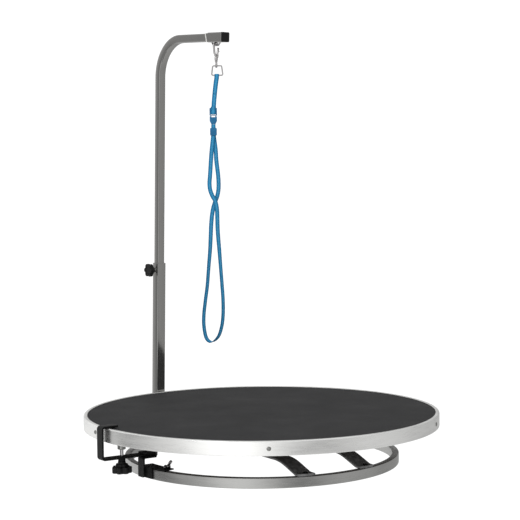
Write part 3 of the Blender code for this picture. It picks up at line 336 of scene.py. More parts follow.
class Shader:
    """A Principled material with short ways to add nodes."""

    def __init__(self, name, colour, roughness, metallic=0.0, **sockets):
        self.material = bpy.data.materials.new(name)
        self.material.use_nodes = True
        self.tree = self.material.node_tree
        self.main = self.tree.nodes["Principled BSDF"]
        self.main.inputs["Base Color"].default_value = (*colour, 1)
        self.main.inputs["Roughness"].default_value = roughness
        self.main.inputs["Metallic"].default_value = metallic
        for key, value in sockets.items():
            self.main.inputs[key.replace("_", " ")].default_value = value
        self.height = None

    def node(self, kind, **values):
        return add_node(self.tree, kind, **values)

    def link(self, source, target):
        self.tree.links.new(source, target)

    def place(self, scale=(1, 1, 1)):
        """Object coordinates in metres, stretched."""
        where = self.node("ShaderNodeTexCoord")
        mapping = self.node("ShaderNodeMapping")
        mapping.inputs["Scale"].default_value = scale
        self.link(where.outputs["Object"], mapping.inputs["Vector"])
        return mapping.outputs["Vector"]

    def round_place(self, around, out, up):
        """Coordinates that follow a ring about Z: angle, radius and height, each with its own scale."""
        where = self.node("ShaderNodeTexCoord")
        split = self.node("ShaderNodeSeparateXYZ")
        self.link(where.outputs["Object"], split.inputs[0])
        angle = self.math("ARCTAN2", split.outputs[1], split.outputs[0])
        x2 = self.math("MULTIPLY", split.outputs[0], split.outputs[0])
        y2 = self.math("MULTIPLY", split.outputs[1], split.outputs[1])
        radius = self.math("SQRT", self.math("ADD", x2, y2))
        join = self.node("ShaderNodeCombineXYZ")
        self.link(self.math("MULTIPLY", angle, around), join.inputs[0])
        self.link(self.math("MULTIPLY", radius, out), join.inputs[1])
        self.link(self.math("MULTIPLY", split.outputs[2], up), join.inputs[2])
        return join.outputs[0]

    def math(self, operation, a, b=None):
        return add_math(self.tree, operation, a, b)

    def noise(self, where, scale, detail=3.0, roughness=0.55):
        made = self.node("ShaderNodeTexNoise", Scale=scale, Detail=detail, Roughness=roughness)
        self.link(where, made.inputs["Vector"])
        return made.outputs["Fac"]

    def cells(self, where, scale):
        made = self.node("ShaderNodeTexVoronoi", Scale=scale)
        self.link(where, made.inputs["Vector"])
        return made.outputs["Distance"]

    def ramp(self, value, low, high, from_low=0.3, from_high=0.7):
        """The value mapped to low..high."""
        made = self.node("ShaderNodeMapRange")
        made.inputs["From Min"].default_value = from_low
        made.inputs["From Max"].default_value = from_high
        made.inputs["To Min"].default_value = low
        made.inputs["To Max"].default_value = high
        self.link(value, made.inputs["Value"])
        return made.outputs["Result"]

    def colours(self, value, stops):
        """A colour ramp over (position, rgb) stops, into the base colour."""
        made = self.node("ShaderNodeValToRGB")
        set_stops(made, stops)
        self.link(value, made.inputs["Fac"])
        self.link(made.outputs["Color"], self.main.inputs["Base Color"])

    def rough(self, value):
        self.link(value, self.main.inputs["Roughness"])

    def bump(self, value, distance, strength):
        made = self.node("ShaderNodeBump", Distance=distance, Strength=strength)
        self.link(value, made.inputs["Height"])
        if self.height:
            self.link(self.height, made.inputs["Normal"])
        self.height = made.outputs["Normal"]
        self.link(self.height, self.main.inputs["Normal"])


def brushed_ring(name, colour, roughness, dark):
    """Metal brushed round a ring: fine lines along it and faint long patches."""
    look = Shader(name, colour, roughness, 1.0, Anisotropic=0.55)
    lines = look.noise(look.round_place(9.0, 2600.0, 2600.0), 1.0, 4.0, 0.7)
    patches = look.noise(look.round_place(5.0, 60.0, 60.0), 1.0, 2.0)
    mix = look.math("ADD", look.math("MULTIPLY", lines, 0.65), look.math("MULTIPLY", patches, 0.35))
    bright = tuple(min(1.0, c * 1.10) for c in colour)
    look.colours(mix, [(0.30, dark), (0.52, colour), (0.72, bright)])
    look.rough(look.ramp(mix, roughness - 0.08, roughness + 0.14))
    look.bump(lines, 0.00006, 0.35)
    return look.material


def pole_metal(name):
    """Grey plated steel drawn to a satin mirror, with long draw lines and a faint cloudiness."""
    look = Shader(name, (0.27, 0.266, 0.258), 0.09, 0.9)
    drawn = look.noise(look.place((900, 900, 6)), 1.0, 3.0)
    cloud = look.noise(look.place((40, 40, 12)), 1.0, 2.0)
    look.colours(cloud, [(0.0, (0.255, 0.252, 0.245)), (1.0, (0.285, 0.281, 0.272))])
    look.rough(look.ramp(drawn, 0.06, 0.13))
    look.bump(look.noise(look.place(), 600.0, 2.0), 0.000006, 0.1)
    return look.material


def powder_coat(name, tone):
    """Black powder coat with its fine wrinkled texture and a slightly uneven tone."""
    look = Shader(name, (tone, tone, tone), 0.5, Specular_IOR_Level=0.12)
    grain = look.noise(look.place(), 1300.0, 3.0, 0.6)
    look.colours(look.noise(look.place(), 90.0, 4.0), [(0.35, (0.6 * tone,) * 3), (0.75, (1.6 * tone,) * 3)])
    look.rough(look.ramp(grain, 0.40, 0.62))
    look.bump(grain, 0.00025, 0.6)
    return look.material


def rubber_mat(name):
    """Charcoal mat with a pebbled non-slip grain, a pebble being one to two millimetres wide."""
    look = Shader(name, (0.033, 0.033, 0.034), 0.75, Specular_IOR_Level=0.10)
    pebbles = look.cells(look.place(), 620.0)
    fine = look.noise(look.place(), 1700.0, 3.0, 0.6)
    patch = look.noise(look.place(), 9.0, 3.0)
    shade = look.math("ADD", look.math("MULTIPLY", fine, 0.55), look.math("MULTIPLY", patch, 0.45))
    dark, usual, light = (0.023, 0.023, 0.024), (0.033, 0.033, 0.034), (0.048, 0.048, 0.049)
    look.colours(shade, [(0.32, dark), (0.5, usual), (0.70, light)])
    look.rough(look.ramp(fine, 0.64, 0.86))
    look.bump(pebbles, 0.00040, 0.7)
    look.bump(fine, 0.00020, 0.5)
    return look.material


def webbing(name):
    """Woven blue webbing: ribs across it, painted shade that darkens its edges and a painted highlight along its
    middle, by its own UV.
    """
    sheen = {"Sheen_Weight": 0.06, "Sheen_Roughness": 0.5}
    look = Shader(name, (0.03, 0.20, 0.42), 0.75, Specular_IOR_Level=0.15, **sheen)
    where = look.node("ShaderNodeUVMap", uv_map="weave")
    split = look.node("ShaderNodeSeparateXYZ")
    look.link(where.outputs[0], split.inputs[0])
    across, along = split.outputs[0], split.outputs[1]
    folded = look.math("ABSOLUTE", look.math("SUBTRACT", across, 0.5))
    chevron = look.math("ADD", look.math("MULTIPLY", along, 1100.0), look.math("MULTIPLY", folded, 14.0))
    rib = look.math("ABSOLUTE", look.math("SINE", look.math("MULTIPLY", chevron, math.pi)))
    warp = look.math("ABSOLUTE", look.math("SINE", look.math("MULTIPLY", across, 12 * math.pi)))
    weave = look.math("MULTIPLY", rib, warp)
    uneven = look.noise(look.place(), 140.0, 3.0)
    # painted light: the colour is lighter along the strap's middle (painted highlight) and darker towards its
    # edges (painted shade), by the distance from the middle
    tone = look.math("ADD", folded, look.math("MULTIPLY", look.math("SUBTRACT", uneven, 0.5), 0.22))
    tone = look.math("SUBTRACT", tone, look.math("MULTIPLY", weave, 0.07))
    # stops run from the painted highlight at the middle (0.00) to the painted shade at the edges (0.50)
    look.colours(
        tone,
        [
            (0.00, (0.080, 0.370, 0.640)),
            (0.13, (0.028, 0.270, 0.520)),
            (0.36, (0.012, 0.195, 0.400)),
            (0.50, (0.006, 0.090, 0.210)),
        ],
    )
    look.rough(look.ramp(weave, 0.62, 0.85, 0, 1))
    look.bump(weave, 0.00030, 0.8)
    return look.material


def plain_plastic(name, colour, lighter, roughness):
    """Moulded plastic with a fine spark-eroded grain and a faint uneven tone."""
    look = Shader(name, colour, roughness, Specular_IOR_Level=0.25)
    look.colours(look.noise(look.place(), 70.0, 3.0), [(0.35, colour), (0.75, lighter)])
    fine = look.noise(look.place(), 900.0, 2.0)
    look.rough(look.ramp(fine, roughness - 0.06, roughness + 0.10))
    look.bump(fine, 0.00010, 0.35)
    return look.material


def plated(name, colour, roughness):
    """Plated steel, with soft smears in its polish."""
    look = Shader(name, colour, roughness, 1.0)
    smear = look.noise(look.place((1, 1, 0.4)), 260.0, 4.0)
    dull = tuple(c * 0.86 for c in colour)
    look.colours(smear, [(0.35, dull), (0.65, colour)])
    look.rough(look.ramp(smear, roughness * 0.7, roughness * 1.5))
    look.bump(smear, 0.00004, 0.3)
    return look.material


def plywood(name):
    """Dark stained plywood with its grain along X."""
    look = Shader(name, (0.030, 0.024, 0.020), 0.6)
    grain = look.noise(look.place((12, 220, 220)), 1.0, 5.0)
    look.colours(grain, [(0.3, (0.020, 0.016, 0.013)), (0.7, (0.045, 0.036, 0.029))])
    look.rough(look.ramp(grain, 0.60, 0.80))
    look.bump(grain, 0.00020, 0.4)
    return look.material


LOOKS = {
    "satin_steel": brushed_ring("satin_steel_look", (0.40, 0.40, 0.39), 0.26, (0.30, 0.30, 0.295)),
    "brushed_rim": brushed_ring("brushed_rim_look", (0.86, 0.86, 0.845), 0.28, (0.72, 0.72, 0.71)),
    "mat_rubber": rubber_mat("mat_look"),
    "plywood": plywood("plywood_look"),
    "black_coat": powder_coat("powder_coat_look", 0.006),
    "zinc": plated("zinc_look", (0.30, 0.30, 0.29), 0.30),
    "chrome": plated("chrome_look", (0.48, 0.47, 0.47), 0.05),
    "pole_steel": pole_metal("pole_look"),
    "black_plastic": plain_plastic("black_plastic_look", (0.003, 0.003, 0.003), (0.006, 0.006, 0.006), 0.55),
    "nylon": plain_plastic("nylon_look", (0.70, 0.69, 0.64), (0.80, 0.79, 0.75), 0.45),
    "webbing": webbing("webbing_look"),
    "blue_plastic": plain_plastic("blue_plastic_look", (0.010, 0.130, 0.290), (0.018, 0.170, 0.360), 0.38),
    "light_band": plain_plastic("light_band_look", (0.68, 0.68, 0.66), (0.80, 0.80, 0.78), 0.35),
}


def dress_nodes():
    """Every CAD node takes the fine finish of its slot; the bars wear a duller, greyer coat."""
    bar_coat = powder_coat("bar_coat_look", 0.17)
    for entry in frame["record"]["subparts"]:
        node = NODES[entry["node"]]
        node.data.materials.clear()
        is_bar = entry["node"].startswith("support_bar")
        node.data.materials.append(bar_coat if is_bar else LOOKS[entry["material_slot"]])


# ---------------------------------------------------------------- tabletop and ring
def make_band():
    """The rim: a rolled band with a lip at the top and a hem turned in at the foot."""
    low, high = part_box("edge_band")
    outer, inner = TABLE_RADIUS, TABLE_RADIUS - BAND_THICK
    lip, hem = TABLE_RADIUS - BAND_LIP, TABLE_RADIUS - BAND_HEM
    foot, crown, edge = 0.0014, 0.0030, 0.0005
    straight = high.z - low.z - foot - crown
    shape = [
        (hem, low.z),
        *arc((outer - foot, low.z + foot), foot, -90, 0, 5),
        *[(outer, low.z + foot + straight * i / 6) for i in range(1, 6)],
        *arc((outer - crown, high.z - crown), crown, 0, 90, 8),
        *arc((lip + edge, high.z - edge), edge, 90, 180, 3),
        (lip, high.z - BAND_THICK),
        (inner, high.z - BAND_THICK),
        (inner, low.z + BAND_THICK),
        (hem, low.z + BAND_THICK),
    ]
    piece("rim_band", turned_ring(shape), "tabletop", ["edge_band"], "brushed_rim")


def make_mat():
    low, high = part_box("top_mat")
    edge, inner, centre = high.x, 0.38, 0.001
    profile = [(centre, low.z), (edge, low.z), (edge, high.z), (inner, high.z), (centre, high.z)]
    piece("mat", turned(profile, RING_STEPS), "tabletop", ["top_mat"], "mat_rubber")


def make_rim_screws():
    """Pan-head screws with a cross recess, set round the rim."""
    low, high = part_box("edge_band")
    middle = (low.z + high.z) / 2
    dome = [
        (0.0014, -0.0158),
        (0.0014, 0.0),
        (0.0046, 0.0),
        (0.0046, 0.0006),
        (0.0041, 0.0013),
        (0.0027, 0.0018),
        (0.0004, 0.0019),
    ]
    slot = loft([level(soft_rectangle(0.0064, 0.0013, 0.0002, 2), z) for z in (0.0006, 0.0030)])
    for i, angle in enumerate(RIM_SCREW_ANGLES, 1):
        seat = facing(angle) @ Matrix.Translation((TABLE_RADIUS, 0, middle)) @ along_x()
        tilt = Matrix.Rotation(math.radians(25 + 37 * i), 4, "Z")
        head = moved(turned(dome, 28), seat)
        screw = piece(f"rim_screw_{i}", head, "tabletop", [f"edge_band_screw_{i}"], "zinc")
        for turn in (0, 90):
            cross = Matrix.Rotation(math.radians(turn), 4, "Z")
            cut(screw, moved(slot, seat @ tilt @ cross))


def make_ring():
    low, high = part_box("base_ring")
    outer = high.x
    half = RING_WIDTH / 2
    tall = (high.z - low.z) / 2
    section = soft_rectangle(RING_WIDTH, 2 * tall, 0.0016, 4)
    profile = [(outer - half + x, low.z + tall + z) for x, z in section]
    piece("ring_tube", turned_ring(profile), "base", ["base_ring"], "satin_steel")


# ---------------------------------------------------------------- pole and arm
def pole_matrix():
    """The pole's frame: Z up its leaning axis, X in towards the table's middle."""
    foot = round_centre(POLE_ANGLE, POLE_AT, 0)
    inward = Matrix.Rotation(math.radians(POLE_ANGLE + 90), 4, "Z")
    return Matrix.Translation(foot) @ inward @ Matrix.Rotation(math.radians(POLE_LEAN), 4, "Y")


def bend_end():
    """The frame at the end of the bend, X along the arm."""
    droop = math.radians(BEND_ANGLE - 90)
    x, z = BEND_BACK * math.cos(droop), ARM_CORNER - BEND_BACK * math.sin(droop)
    return Matrix.Translation((x, 0, z)) @ Matrix.Rotation(droop, 4, "Y")


def along_arm(reach):
    """The way along the arm from the end of the bend to that reach from the pole."""
    place = bend_end()
    return (reach - place.translation.x) / place.col[0].x


def tube(outer, inner):
    """A hollow tube between two stacks of rings."""
    count, last = len(outer[0]), len(outer) - 1
    points = [Vector(p) for ring in outer + inner for p in ring]
    shift = len(outer) * count
    faces = []
    for i in range(last):
        for j in range(count):
            k = (j + 1) % count
            a, b = i * count, (i + 1) * count
            faces.append((a + j, a + k, b + k, b + j))
            faces.append((shift + a + k, shift + a + j, shift + b + j, shift + b + k))
    for j in range(count):
        k = (j + 1) % count
        top = last * count
        faces.append((j, shift + j, shift + k, k))
        faces.append((top + j, top + k, shift + top + k, shift + top + j))
    return points, faces


def square_tube(size, inside, inner_corner, start, stop):
    """A straight square tube along Z with the outer edges of both its ends broken."""
    narrow = size - 2 * TUBE_RIM
    outer = [(narrow, start), (size, start + TUBE_RIM), (size, stop - TUBE_RIM), (narrow, stop)]
    return tube(
        [level(soft_rectangle(wide, wide, TUBE_CORNER), z) for wide, z in outer],
        [level(soft_rectangle(inside, inside, inner_corner), z) for _, z in outer],
    )


def make_tubes():
    """The bent upper tube, the lower tube it slides in, and the sleeve and cap at the arm's end."""
    pole = pole_matrix()
    bend = arc((BEND_RADIUS, ARM_CORNER - BEND_BACK), BEND_RADIUS, 180, 180 - BEND_ANGLE, 30)
    end = bend_end() @ Vector((along_arm(ARM_REACH), 0, 0))
    path = [(0.0, UPPER_BOTTOM), *bend, (end.x, end.z)]
    inside = UPPER_TUBE - 2 * TUBE_WALL
    shape = tube(
        carry(path, soft_rectangle(UPPER_TUBE, UPPER_TUBE, 0.0022)),
        carry(path, soft_rectangle(inside, inside, 0.0010)),
    )
    piece("upper_tube", moved(shape, pole), "arm", ["arm_tube"], "pole_steel")
    shape = square_tube(LOWER_TUBE, LOWER_TUBE - 2 * TUBE_WALL, 0.0012, LOWER_BOTTOM, LOWER_TOP)
    piece("lower_tube", moved(shape, pole), "base", ["pole_lower_tube"], "pole_steel")

    place = pole @ bend_end() @ along_x()
    start, stop = along_arm(SLEEVE_START), along_arm(ARM_REACH)
    shape = square_tube(SLEEVE_SIZE, UPPER_TUBE + 0.0006, 0.0016, start, stop)
    piece("arm_sleeve", moved(shape, place), "arm", ["arm_end_sleeve"], "pole_steel")
    begin = stop + 0.0003
    tip = begin + CAP_FLANGE
    steps = [
        (2 * TUBE_RIM, begin),
        (0, begin + TUBE_RIM),
        (0, tip - 0.0012),
        (2 * TUBE_RIM, tip - 0.0004),
        (0.0026, tip),
    ]
    sizes = [(SLEEVE_SIZE - by, z) for by, z in steps]
    cap = loft([level(soft_rectangle(size, size, TUBE_CORNER), z) for size, z in sizes])
    piece("arm_cap", moved(cap, place), "arm", ["arm_end_cap"], "black_plastic")


def make_bail():
    """The wire loop, bent smoothly, its feet welded to the sleeve."""
    at = along_arm(BAIL_AT)
    top, low = -SLEEVE_SIZE / 2 - 0.0001, -SLEEVE_SIZE / 2 - BAIL_DEPTH
    corners = [
        (at - BAIL_LEGS, top),
        (at - BAIL_LEGS, top - 0.0022),
        (at - BAIL_FLAT, low),
        (at + BAIL_FLAT, low),
        (at + BAIL_LEGS, top - 0.0022),
        (at + BAIL_LEGS, top),
    ]
    path = rounded(corners, [0, 0.003, 0.004, 0.004, 0.003, 0], 8, closed=False)
    shape = moved(wire(path, BAIL_WIRE), pole_matrix() @ bend_end())
    piece("bail", shape, "arm", ["hook_bail"], "chrome")


# ---------------------------------------------------------------- knobs
def star(radius, depth, lobes):
    """A round outline with that many lobes, the valleys between them depth deep."""
    total = lobes * LOBE_STEPS
    points = []
    for i in range(total):
        a = 2 * math.pi * i / total
        r = radius - depth * (0.5 - 0.5 * math.cos(lobes * a)) ** 1.5
        points.append((r * math.cos(a), r * math.sin(a)))
    return points


def scaled(outline, factor):
    return [(x * factor, y * factor) for x, y in outline]


def star_knob(radius, hub, height, flange, lobes):
    """A knob that stands on Z = 0: a lobed grip, a lobed hub on it and a plain round neck."""
    wide, narrow = star(radius, 0.22 * radius, lobes), star(hub, 0.10 * hub, lobes)
    neck = scaled(star(hub, 0.0, lobes), 0.62)
    edge = ((0.93, 0.0), (0.975, 0.0006), (1.0, 0.0018))
    hollow = ((0.30, 0.0010), (0.62, 0.0010), (0.70, 0.0))
    stack = [(wide, s, z) for s, z in (*hollow, *edge)]
    stack += [(wide, s, flange - z) for s, z in reversed(edge)]
    stack += [(narrow, 1.10, flange), (narrow, 1.0, flange + 0.0010)]
    stack += [(narrow, 0.985, 0.78 * height), (narrow, 0.93, 0.82 * height)]
    stack += [(neck, 1.0, 0.84 * height), (neck, 1.0, height)]
    return loft([level(scaled(outline, s), z) for outline, s, z in stack])


def make_knobs():
    """The knob of the tabletop's lock, and the pole's knob that holds the arm at its height."""
    low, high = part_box("lock_knob")
    spot = round_centre(LOCK_ANGLE, LOCK_SCREW_AT, low.z)
    knob = star_knob(radius=0.0218, hub=0.0138, height=high.z - low.z, flange=0.0140, lobes=7)
    piece("star_knob_lock", moved(knob, spot), "lock_screw_and_knob", ["lock_knob"], "black_plastic")
    knob = star_knob(radius=0.0170, hub=0.0112, height=0.0175, flange=0.0100, lobes=6)
    face = Matrix.Translation((0, 0, ARM_KNOB_HEIGHT)) @ Matrix.Rotation(math.radians(90), 4, "X")
    seat = pole_matrix() @ face @ Matrix.Translation((0, 0, LOWER_TUBE / 2 + ARM_KNOB_OUT))
    shape = moved(knob, seat @ Matrix.Rotation(math.pi, 4, "X"))
    piece("star_knob_arm", shape, "arm_knob_and_screw", ["arm_knob"], "black_plastic")


# ---------------------------------------------------------------- snap hook and ring
HOOK_WIRE = 0.0026
HOOK_INNER = 0.0040
HOOK_PLAY = 0.0003  # between the hook's inside and the bail's wire
GATE_SHORT = 0.0006  # the gate ends this much and a wire's radius short of the hook's nose
LINK_WIRE = 0.0014
RING_WIRE = 0.0017
RING_HALF = (0.0104, 0.01335)
EYE_CENTRE = -0.04465
EYE_HALF = (0.0045, 0.00605)
RING_TOP = -0.0476
RING_BOTTOM = -0.0699
BARREL = (-0.0355, -0.0270)
GATE_PIVOT = (0.0030, -0.0225)


def joint_place(name):
    return Vector(next(j["pos_m"] for j in frame["joints"] if j["name"] == name))


def hook_matrix():
    """The hook's frame: at the bail's wire, Z up and X towards the gate."""
    bail = Matrix.Translation(joint_place("hook_swing"))
    return bail @ Matrix.Rotation(math.radians(POLE_ANGLE + 180), 4, "Z")


def make_hook():
    """The snap hook's wire, with the barrel below it and a cheek on each side of the gate's foot."""
    across = hook_matrix()
    top = BAIL_WIRE + HOOK_PLAY
    over = arc((0.0, top - HOOK_INNER), HOOK_INNER + HOOK_WIRE, 180, 5, 28)
    spine = [
        (0.0, 0, -0.0285),
        (-0.0012, 0, -0.0255),
        (-0.0034, 0, -0.0215),
        (-0.0052, 0, -0.0160),
        (-0.0058, 0, -0.0090),
        (over[0][0], 0, over[0][1]),
    ]
    back = [(p.x, p.z) for p in smoothed(spine, 0.0015)][:-1]
    shape = moved(wire([*back, *over], HOOK_WIRE), across)
    hook = piece("snap_hook", shape, "snap_hook", ["snap_hook_body"], "chrome")
    low, high = BARREL
    barrel = [
        (0.0030, low),
        (0.0036, low + 0.0003),
        (0.0040, low + 0.0010),
        (0.0040, high - 0.0012),
        (0.0034, high - 0.0002),
        (0.0026, high + 0.0004),
    ]
    cut(hook, moved(turned(barrel, 32), across), "UNION")
    foot = high - 0.0030
    cheek = [(-0.0010, foot), (0.0040, foot), *arc(GATE_PIVOT, 0.0024, 0, 130, 8)]
    for side in (-1, 1):
        plate = moved(slab(cheek, -0.0006, 0.0006, 0.0002, 2), stood_in_xz())
        cut(hook, moved(plate, across @ Matrix.Translation((0, side * 0.0024, 0))), "UNION")


def make_gate():
    """The gate: a bar from its pivot up to the hook's nose, with a nub for the thumb."""
    pivot_x, pivot_z = GATE_PIVOT
    nose_x = HOOK_INNER + HOOK_WIRE - pivot_x
    nose_z = BAIL_WIRE - HOOK_INNER - HOOK_WIRE - GATE_SHORT - pivot_z
    nose = Vector((nose_x, nose_z))
    lean = Matrix.Rotation(math.atan2(nose.x, nose.y), 4, "Y")
    place = hook_matrix() @ (Matrix.Translation((pivot_x, 0, pivot_z)) @ lean)
    bar = [
        (0.0009, -0.0016),
        (0.0025, -0.0004),
        (0.0026, nose.length - 0.0014),
        (0.0020, nose.length - 0.0002),
        (0.0006, nose.length),
    ]
    gate = piece("hook_gate", moved(turned(bar, 20), place), "gate", ["snap_gate"], "chrome")
    nub = [(0.0006, 0.0065), (0.0040, 0.0084), (0.0046, 0.0096), (0.0042, 0.0106), (0.0006, 0.0112)]
    outline = rounded(nub, [0, 0.0007, 0.0006, 0.0007, 0], 3)
    thumb = moved(slab(outline, -0.0012, 0.0012, 0.0003, 2), stood_in_xz())
    cut(gate, moved(thumb, place), "UNION")


def make_swivel_eye():
    """The flat oval eye below the hook, and its stem up into the barrel."""
    swivel = Matrix.Translation(joint_place("hook_swing")) @ Matrix.Rotation(math.radians(90), 4, "Z")
    section = [(u * 1.4, v * 1.9) for u, v in circle(LINK_WIRE, WIRE_SIDES)]
    wide, tall = EYE_HALF
    oval = [(wide * x, EYE_CENTRE + tall * z) for x, z in circle(1, EYE_STEPS)]
    shape = moved(loft(carry(oval, section, closed=True), cyclic=True), swivel)
    eye = piece("swivel_eye", shape, "swivel", ["snap_swivel_eye"], "chrome")
    low, high = BARREL
    crown = EYE_CENTRE + tall
    stem = [
        (0.0022, crown),
        (0.0035, crown + 0.0008),
        (0.0036, low - 0.0006),
        (0.0014, low - 0.0003),
        (0.0014, high - 0.0060),
    ]
    cut(eye, moved(turned(stem, 24), swivel), "UNION")


def make_noose_ring():
    """The ring between the eye and the hanger, wider at its foot."""
    drop = RING_BOTTOM - RING_TOP
    top, foot = RING_HALF
    corners = [(-top, 0.0), (-foot, drop), (foot, drop), (top, 0.0)]
    path = rounded(corners, [0.0028, 0.0034, 0.0034, 0.0028], 8)
    ring = moved(wire(path, RING_WIRE, closed=True), joint_place("ring_swing"))
    piece("trapezoid_ring", ring, "ring", ["noose_ring"], "chrome")


# ---------------------------------------------------------------- webbing and its buckle
BAIL_HEIGHT = 0.9604
BUCKLE_X = -0.0083
STRAND = 0.0018  # half the distance between the loop's two strands in the buckle
BUCKLE_DEPTH = 0.0070
BUCKLE_HALF = 0.0085
PRONG_LENGTH = 0.0070
PLY_OUT = 0.0046  # how far the hanger's front ply stands out over the buckle
THROUGH = 0.03  # the depth of a cutter that goes right through
HANGER_ROUTE = [
    (0.0010, 0.0, 0.8868),
    (-0.0010, 0.0, 0.8750),
    (-0.0034, 0.0, 0.8560),
    (-0.0058, 0.0, 0.8340),
    (-0.0072, 0.0, 0.8146),
]
LOOP_ROUTE = [
    (-0.0083, -STRAND, 0.7758),
    (-0.0084, -STRAND, 0.7640),
    (-0.0090, -STRAND, 0.7490),
    (-0.0129, -0.0012, 0.7150),
    (-0.0150, -0.0006, 0.6910),
    (-0.0175, -0.0008, 0.6560),
    (-0.0190, -0.0014, 0.6370),
    (-0.0175, -0.0024, 0.6210),
    (-0.0121, -0.0033, 0.6065),
    (-0.0057, -0.0036, 0.5950),
    (-0.0022, -0.0033, 0.5780),
    (-0.0014, -0.0024, 0.5600),
    (-0.0012, -0.0012, 0.5380),
    (-0.0002, 0.0, 0.5140),
    (0.0024, 0.0, 0.4790),
    (0.0048, 0.0, 0.4430),
    (0.0080, 0.0, 0.3955),
    (0.0100, 0.0, 0.3600),
    (0.0096, 0.0, 0.3240),
    (0.0058, 0.0, 0.2960),
    (-0.0024, 0.0, 0.2730),
    (-0.0174, 0.0, 0.2610),
    (-0.0300, 0.0, 0.2690),
    (-0.0358, 0.0, 0.2960),
    (-0.0360, 0.0, 0.3240),
    (-0.0318, 0.0, 0.3600),
    (-0.0269, 0.0, 0.3955),
    (-0.0228, 0.0, 0.4430),
    (-0.0195, 0.0, 0.4790),
    (-0.0175, 0.0, 0.5140),
    (-0.0163, 0.0012, 0.5380),
    (-0.0142, 0.0024, 0.5600),
    (-0.0110, 0.0033, 0.5780),
    (-0.0057, 0.0036, 0.5950),
    (-0.0012, 0.0033, 0.6065),
    (0.0018, 0.0024, 0.6210),
    (0.0024, 0.0014, 0.6370),
    (0.0015, 0.0008, 0.6560),
    (-0.0023, 0.0006, 0.6910),
    (-0.0036, 0.0012, 0.7150),
    (-0.0076, STRAND, 0.7490),
    (-0.0082, STRAND, 0.7640),
    (-0.0083, STRAND, 0.7758),
]


def noose_origin():
    """The point that the noose's heights are counted from."""
    bail = joint_place("hook_swing")
    return Vector((bail.x, bail.y, bail.z - BAIL_HEIGHT))


def ease(value, low, high):
    t = max(0.0, min(1.0, (value - low) / (high - low)))
    return t * t * (3 - 2 * t)


def square_on(point):
    """The way the hanger's width points, the same all along it."""
    return Vector((1, 0, 0))


def strap_section(width, thick):
    """A flat section with full round edges, as (across, out) points."""
    points = []
    for i in range(STRAP_SIDES):
        a = 2 * math.pi * i / STRAP_SIDES
        c, s = math.cos(a), math.sin(a)
        x = math.copysign(abs(c) ** 0.45, c)
        y = math.copysign(abs(s) ** 0.55, s)
        points.append((width / 2 * x, thick / 2 * y))
    return points


def strap(points, width, thick, across):
    """A strap along the points; across(point) is the way its width points there.

    Returns its shape, its section and how far along it each ring is.
    """
    section = strap_section(width, thick)
    rings, run, marks = [], 0.0, []
    for i, p in enumerate(points):
        before, after = points[max(0, i - 1)], points[min(len(points) - 1, i + 1)]
        tangent = (after - before).normalized()
        wanted = across(p)
        side = (wanted - tangent * wanted.dot(tangent)).normalized()
        out = tangent.cross(side).normalized()
        rings.append([p + side * x + out * y for x, y in section])
        run += (p - points[i - 1]).length if i else 0.0
        marks.append(run)
    return loft(rings), section, marks


def lay_uv(made, section, marks, width):
    """The weave's own coordinates: across the strap from 0 to 1, and metres along it."""
    layer = made.data.uv_layers.new(name="weave")
    count = len(section)
    for loop in made.data.loops:
        ring, j = divmod(loop.vertex_index, count)
        layer.data[loop.index].uv = (section[j][0] / width + 0.5, marks[ring])


def make_strap(name, points, body, stands_for, across, width=WEB_WIDTH):
    shape, section, marks = strap(points, width, WEB_THICK, across)
    made = piece(name, shape, body, stands_for, "webbing", STRAP_SHARP)
    lay_uv(made, section, marks, width)
    return made


def make_ring_fold(hanger_points):
    """The hanger's end: up in front of the strap, over the ring's bottom bar, down behind it."""
    start = hanger_points[0]
    bar = Vector((start.x, start.y, joint_place("ring_swing").z + RING_BOTTOM - RING_TOP))
    radius = RING_WIRE + WEB_THICK / 2 + 0.0001
    over = [Vector((0, y, z)) + bar for y, z in arc((0, 0), radius, 180, 0, 16)]
    layer = WEB_THICK + 0.0001
    down = [p for p in hanger_points if bar.z - FOLD_LENGTH < p.z < bar.z - 0.0060]
    front = [p + Vector((0, -layer, 0)) for p in reversed(down)]
    back = [p + Vector((0, layer, 0)) for p in down if p.z > bar.z - FOLD_LENGTH / 2]
    route = [*front, *over, *back]
    return make_strap("hanger_fold", route, "hanger", (), square_on, HANGER_WIDTH)


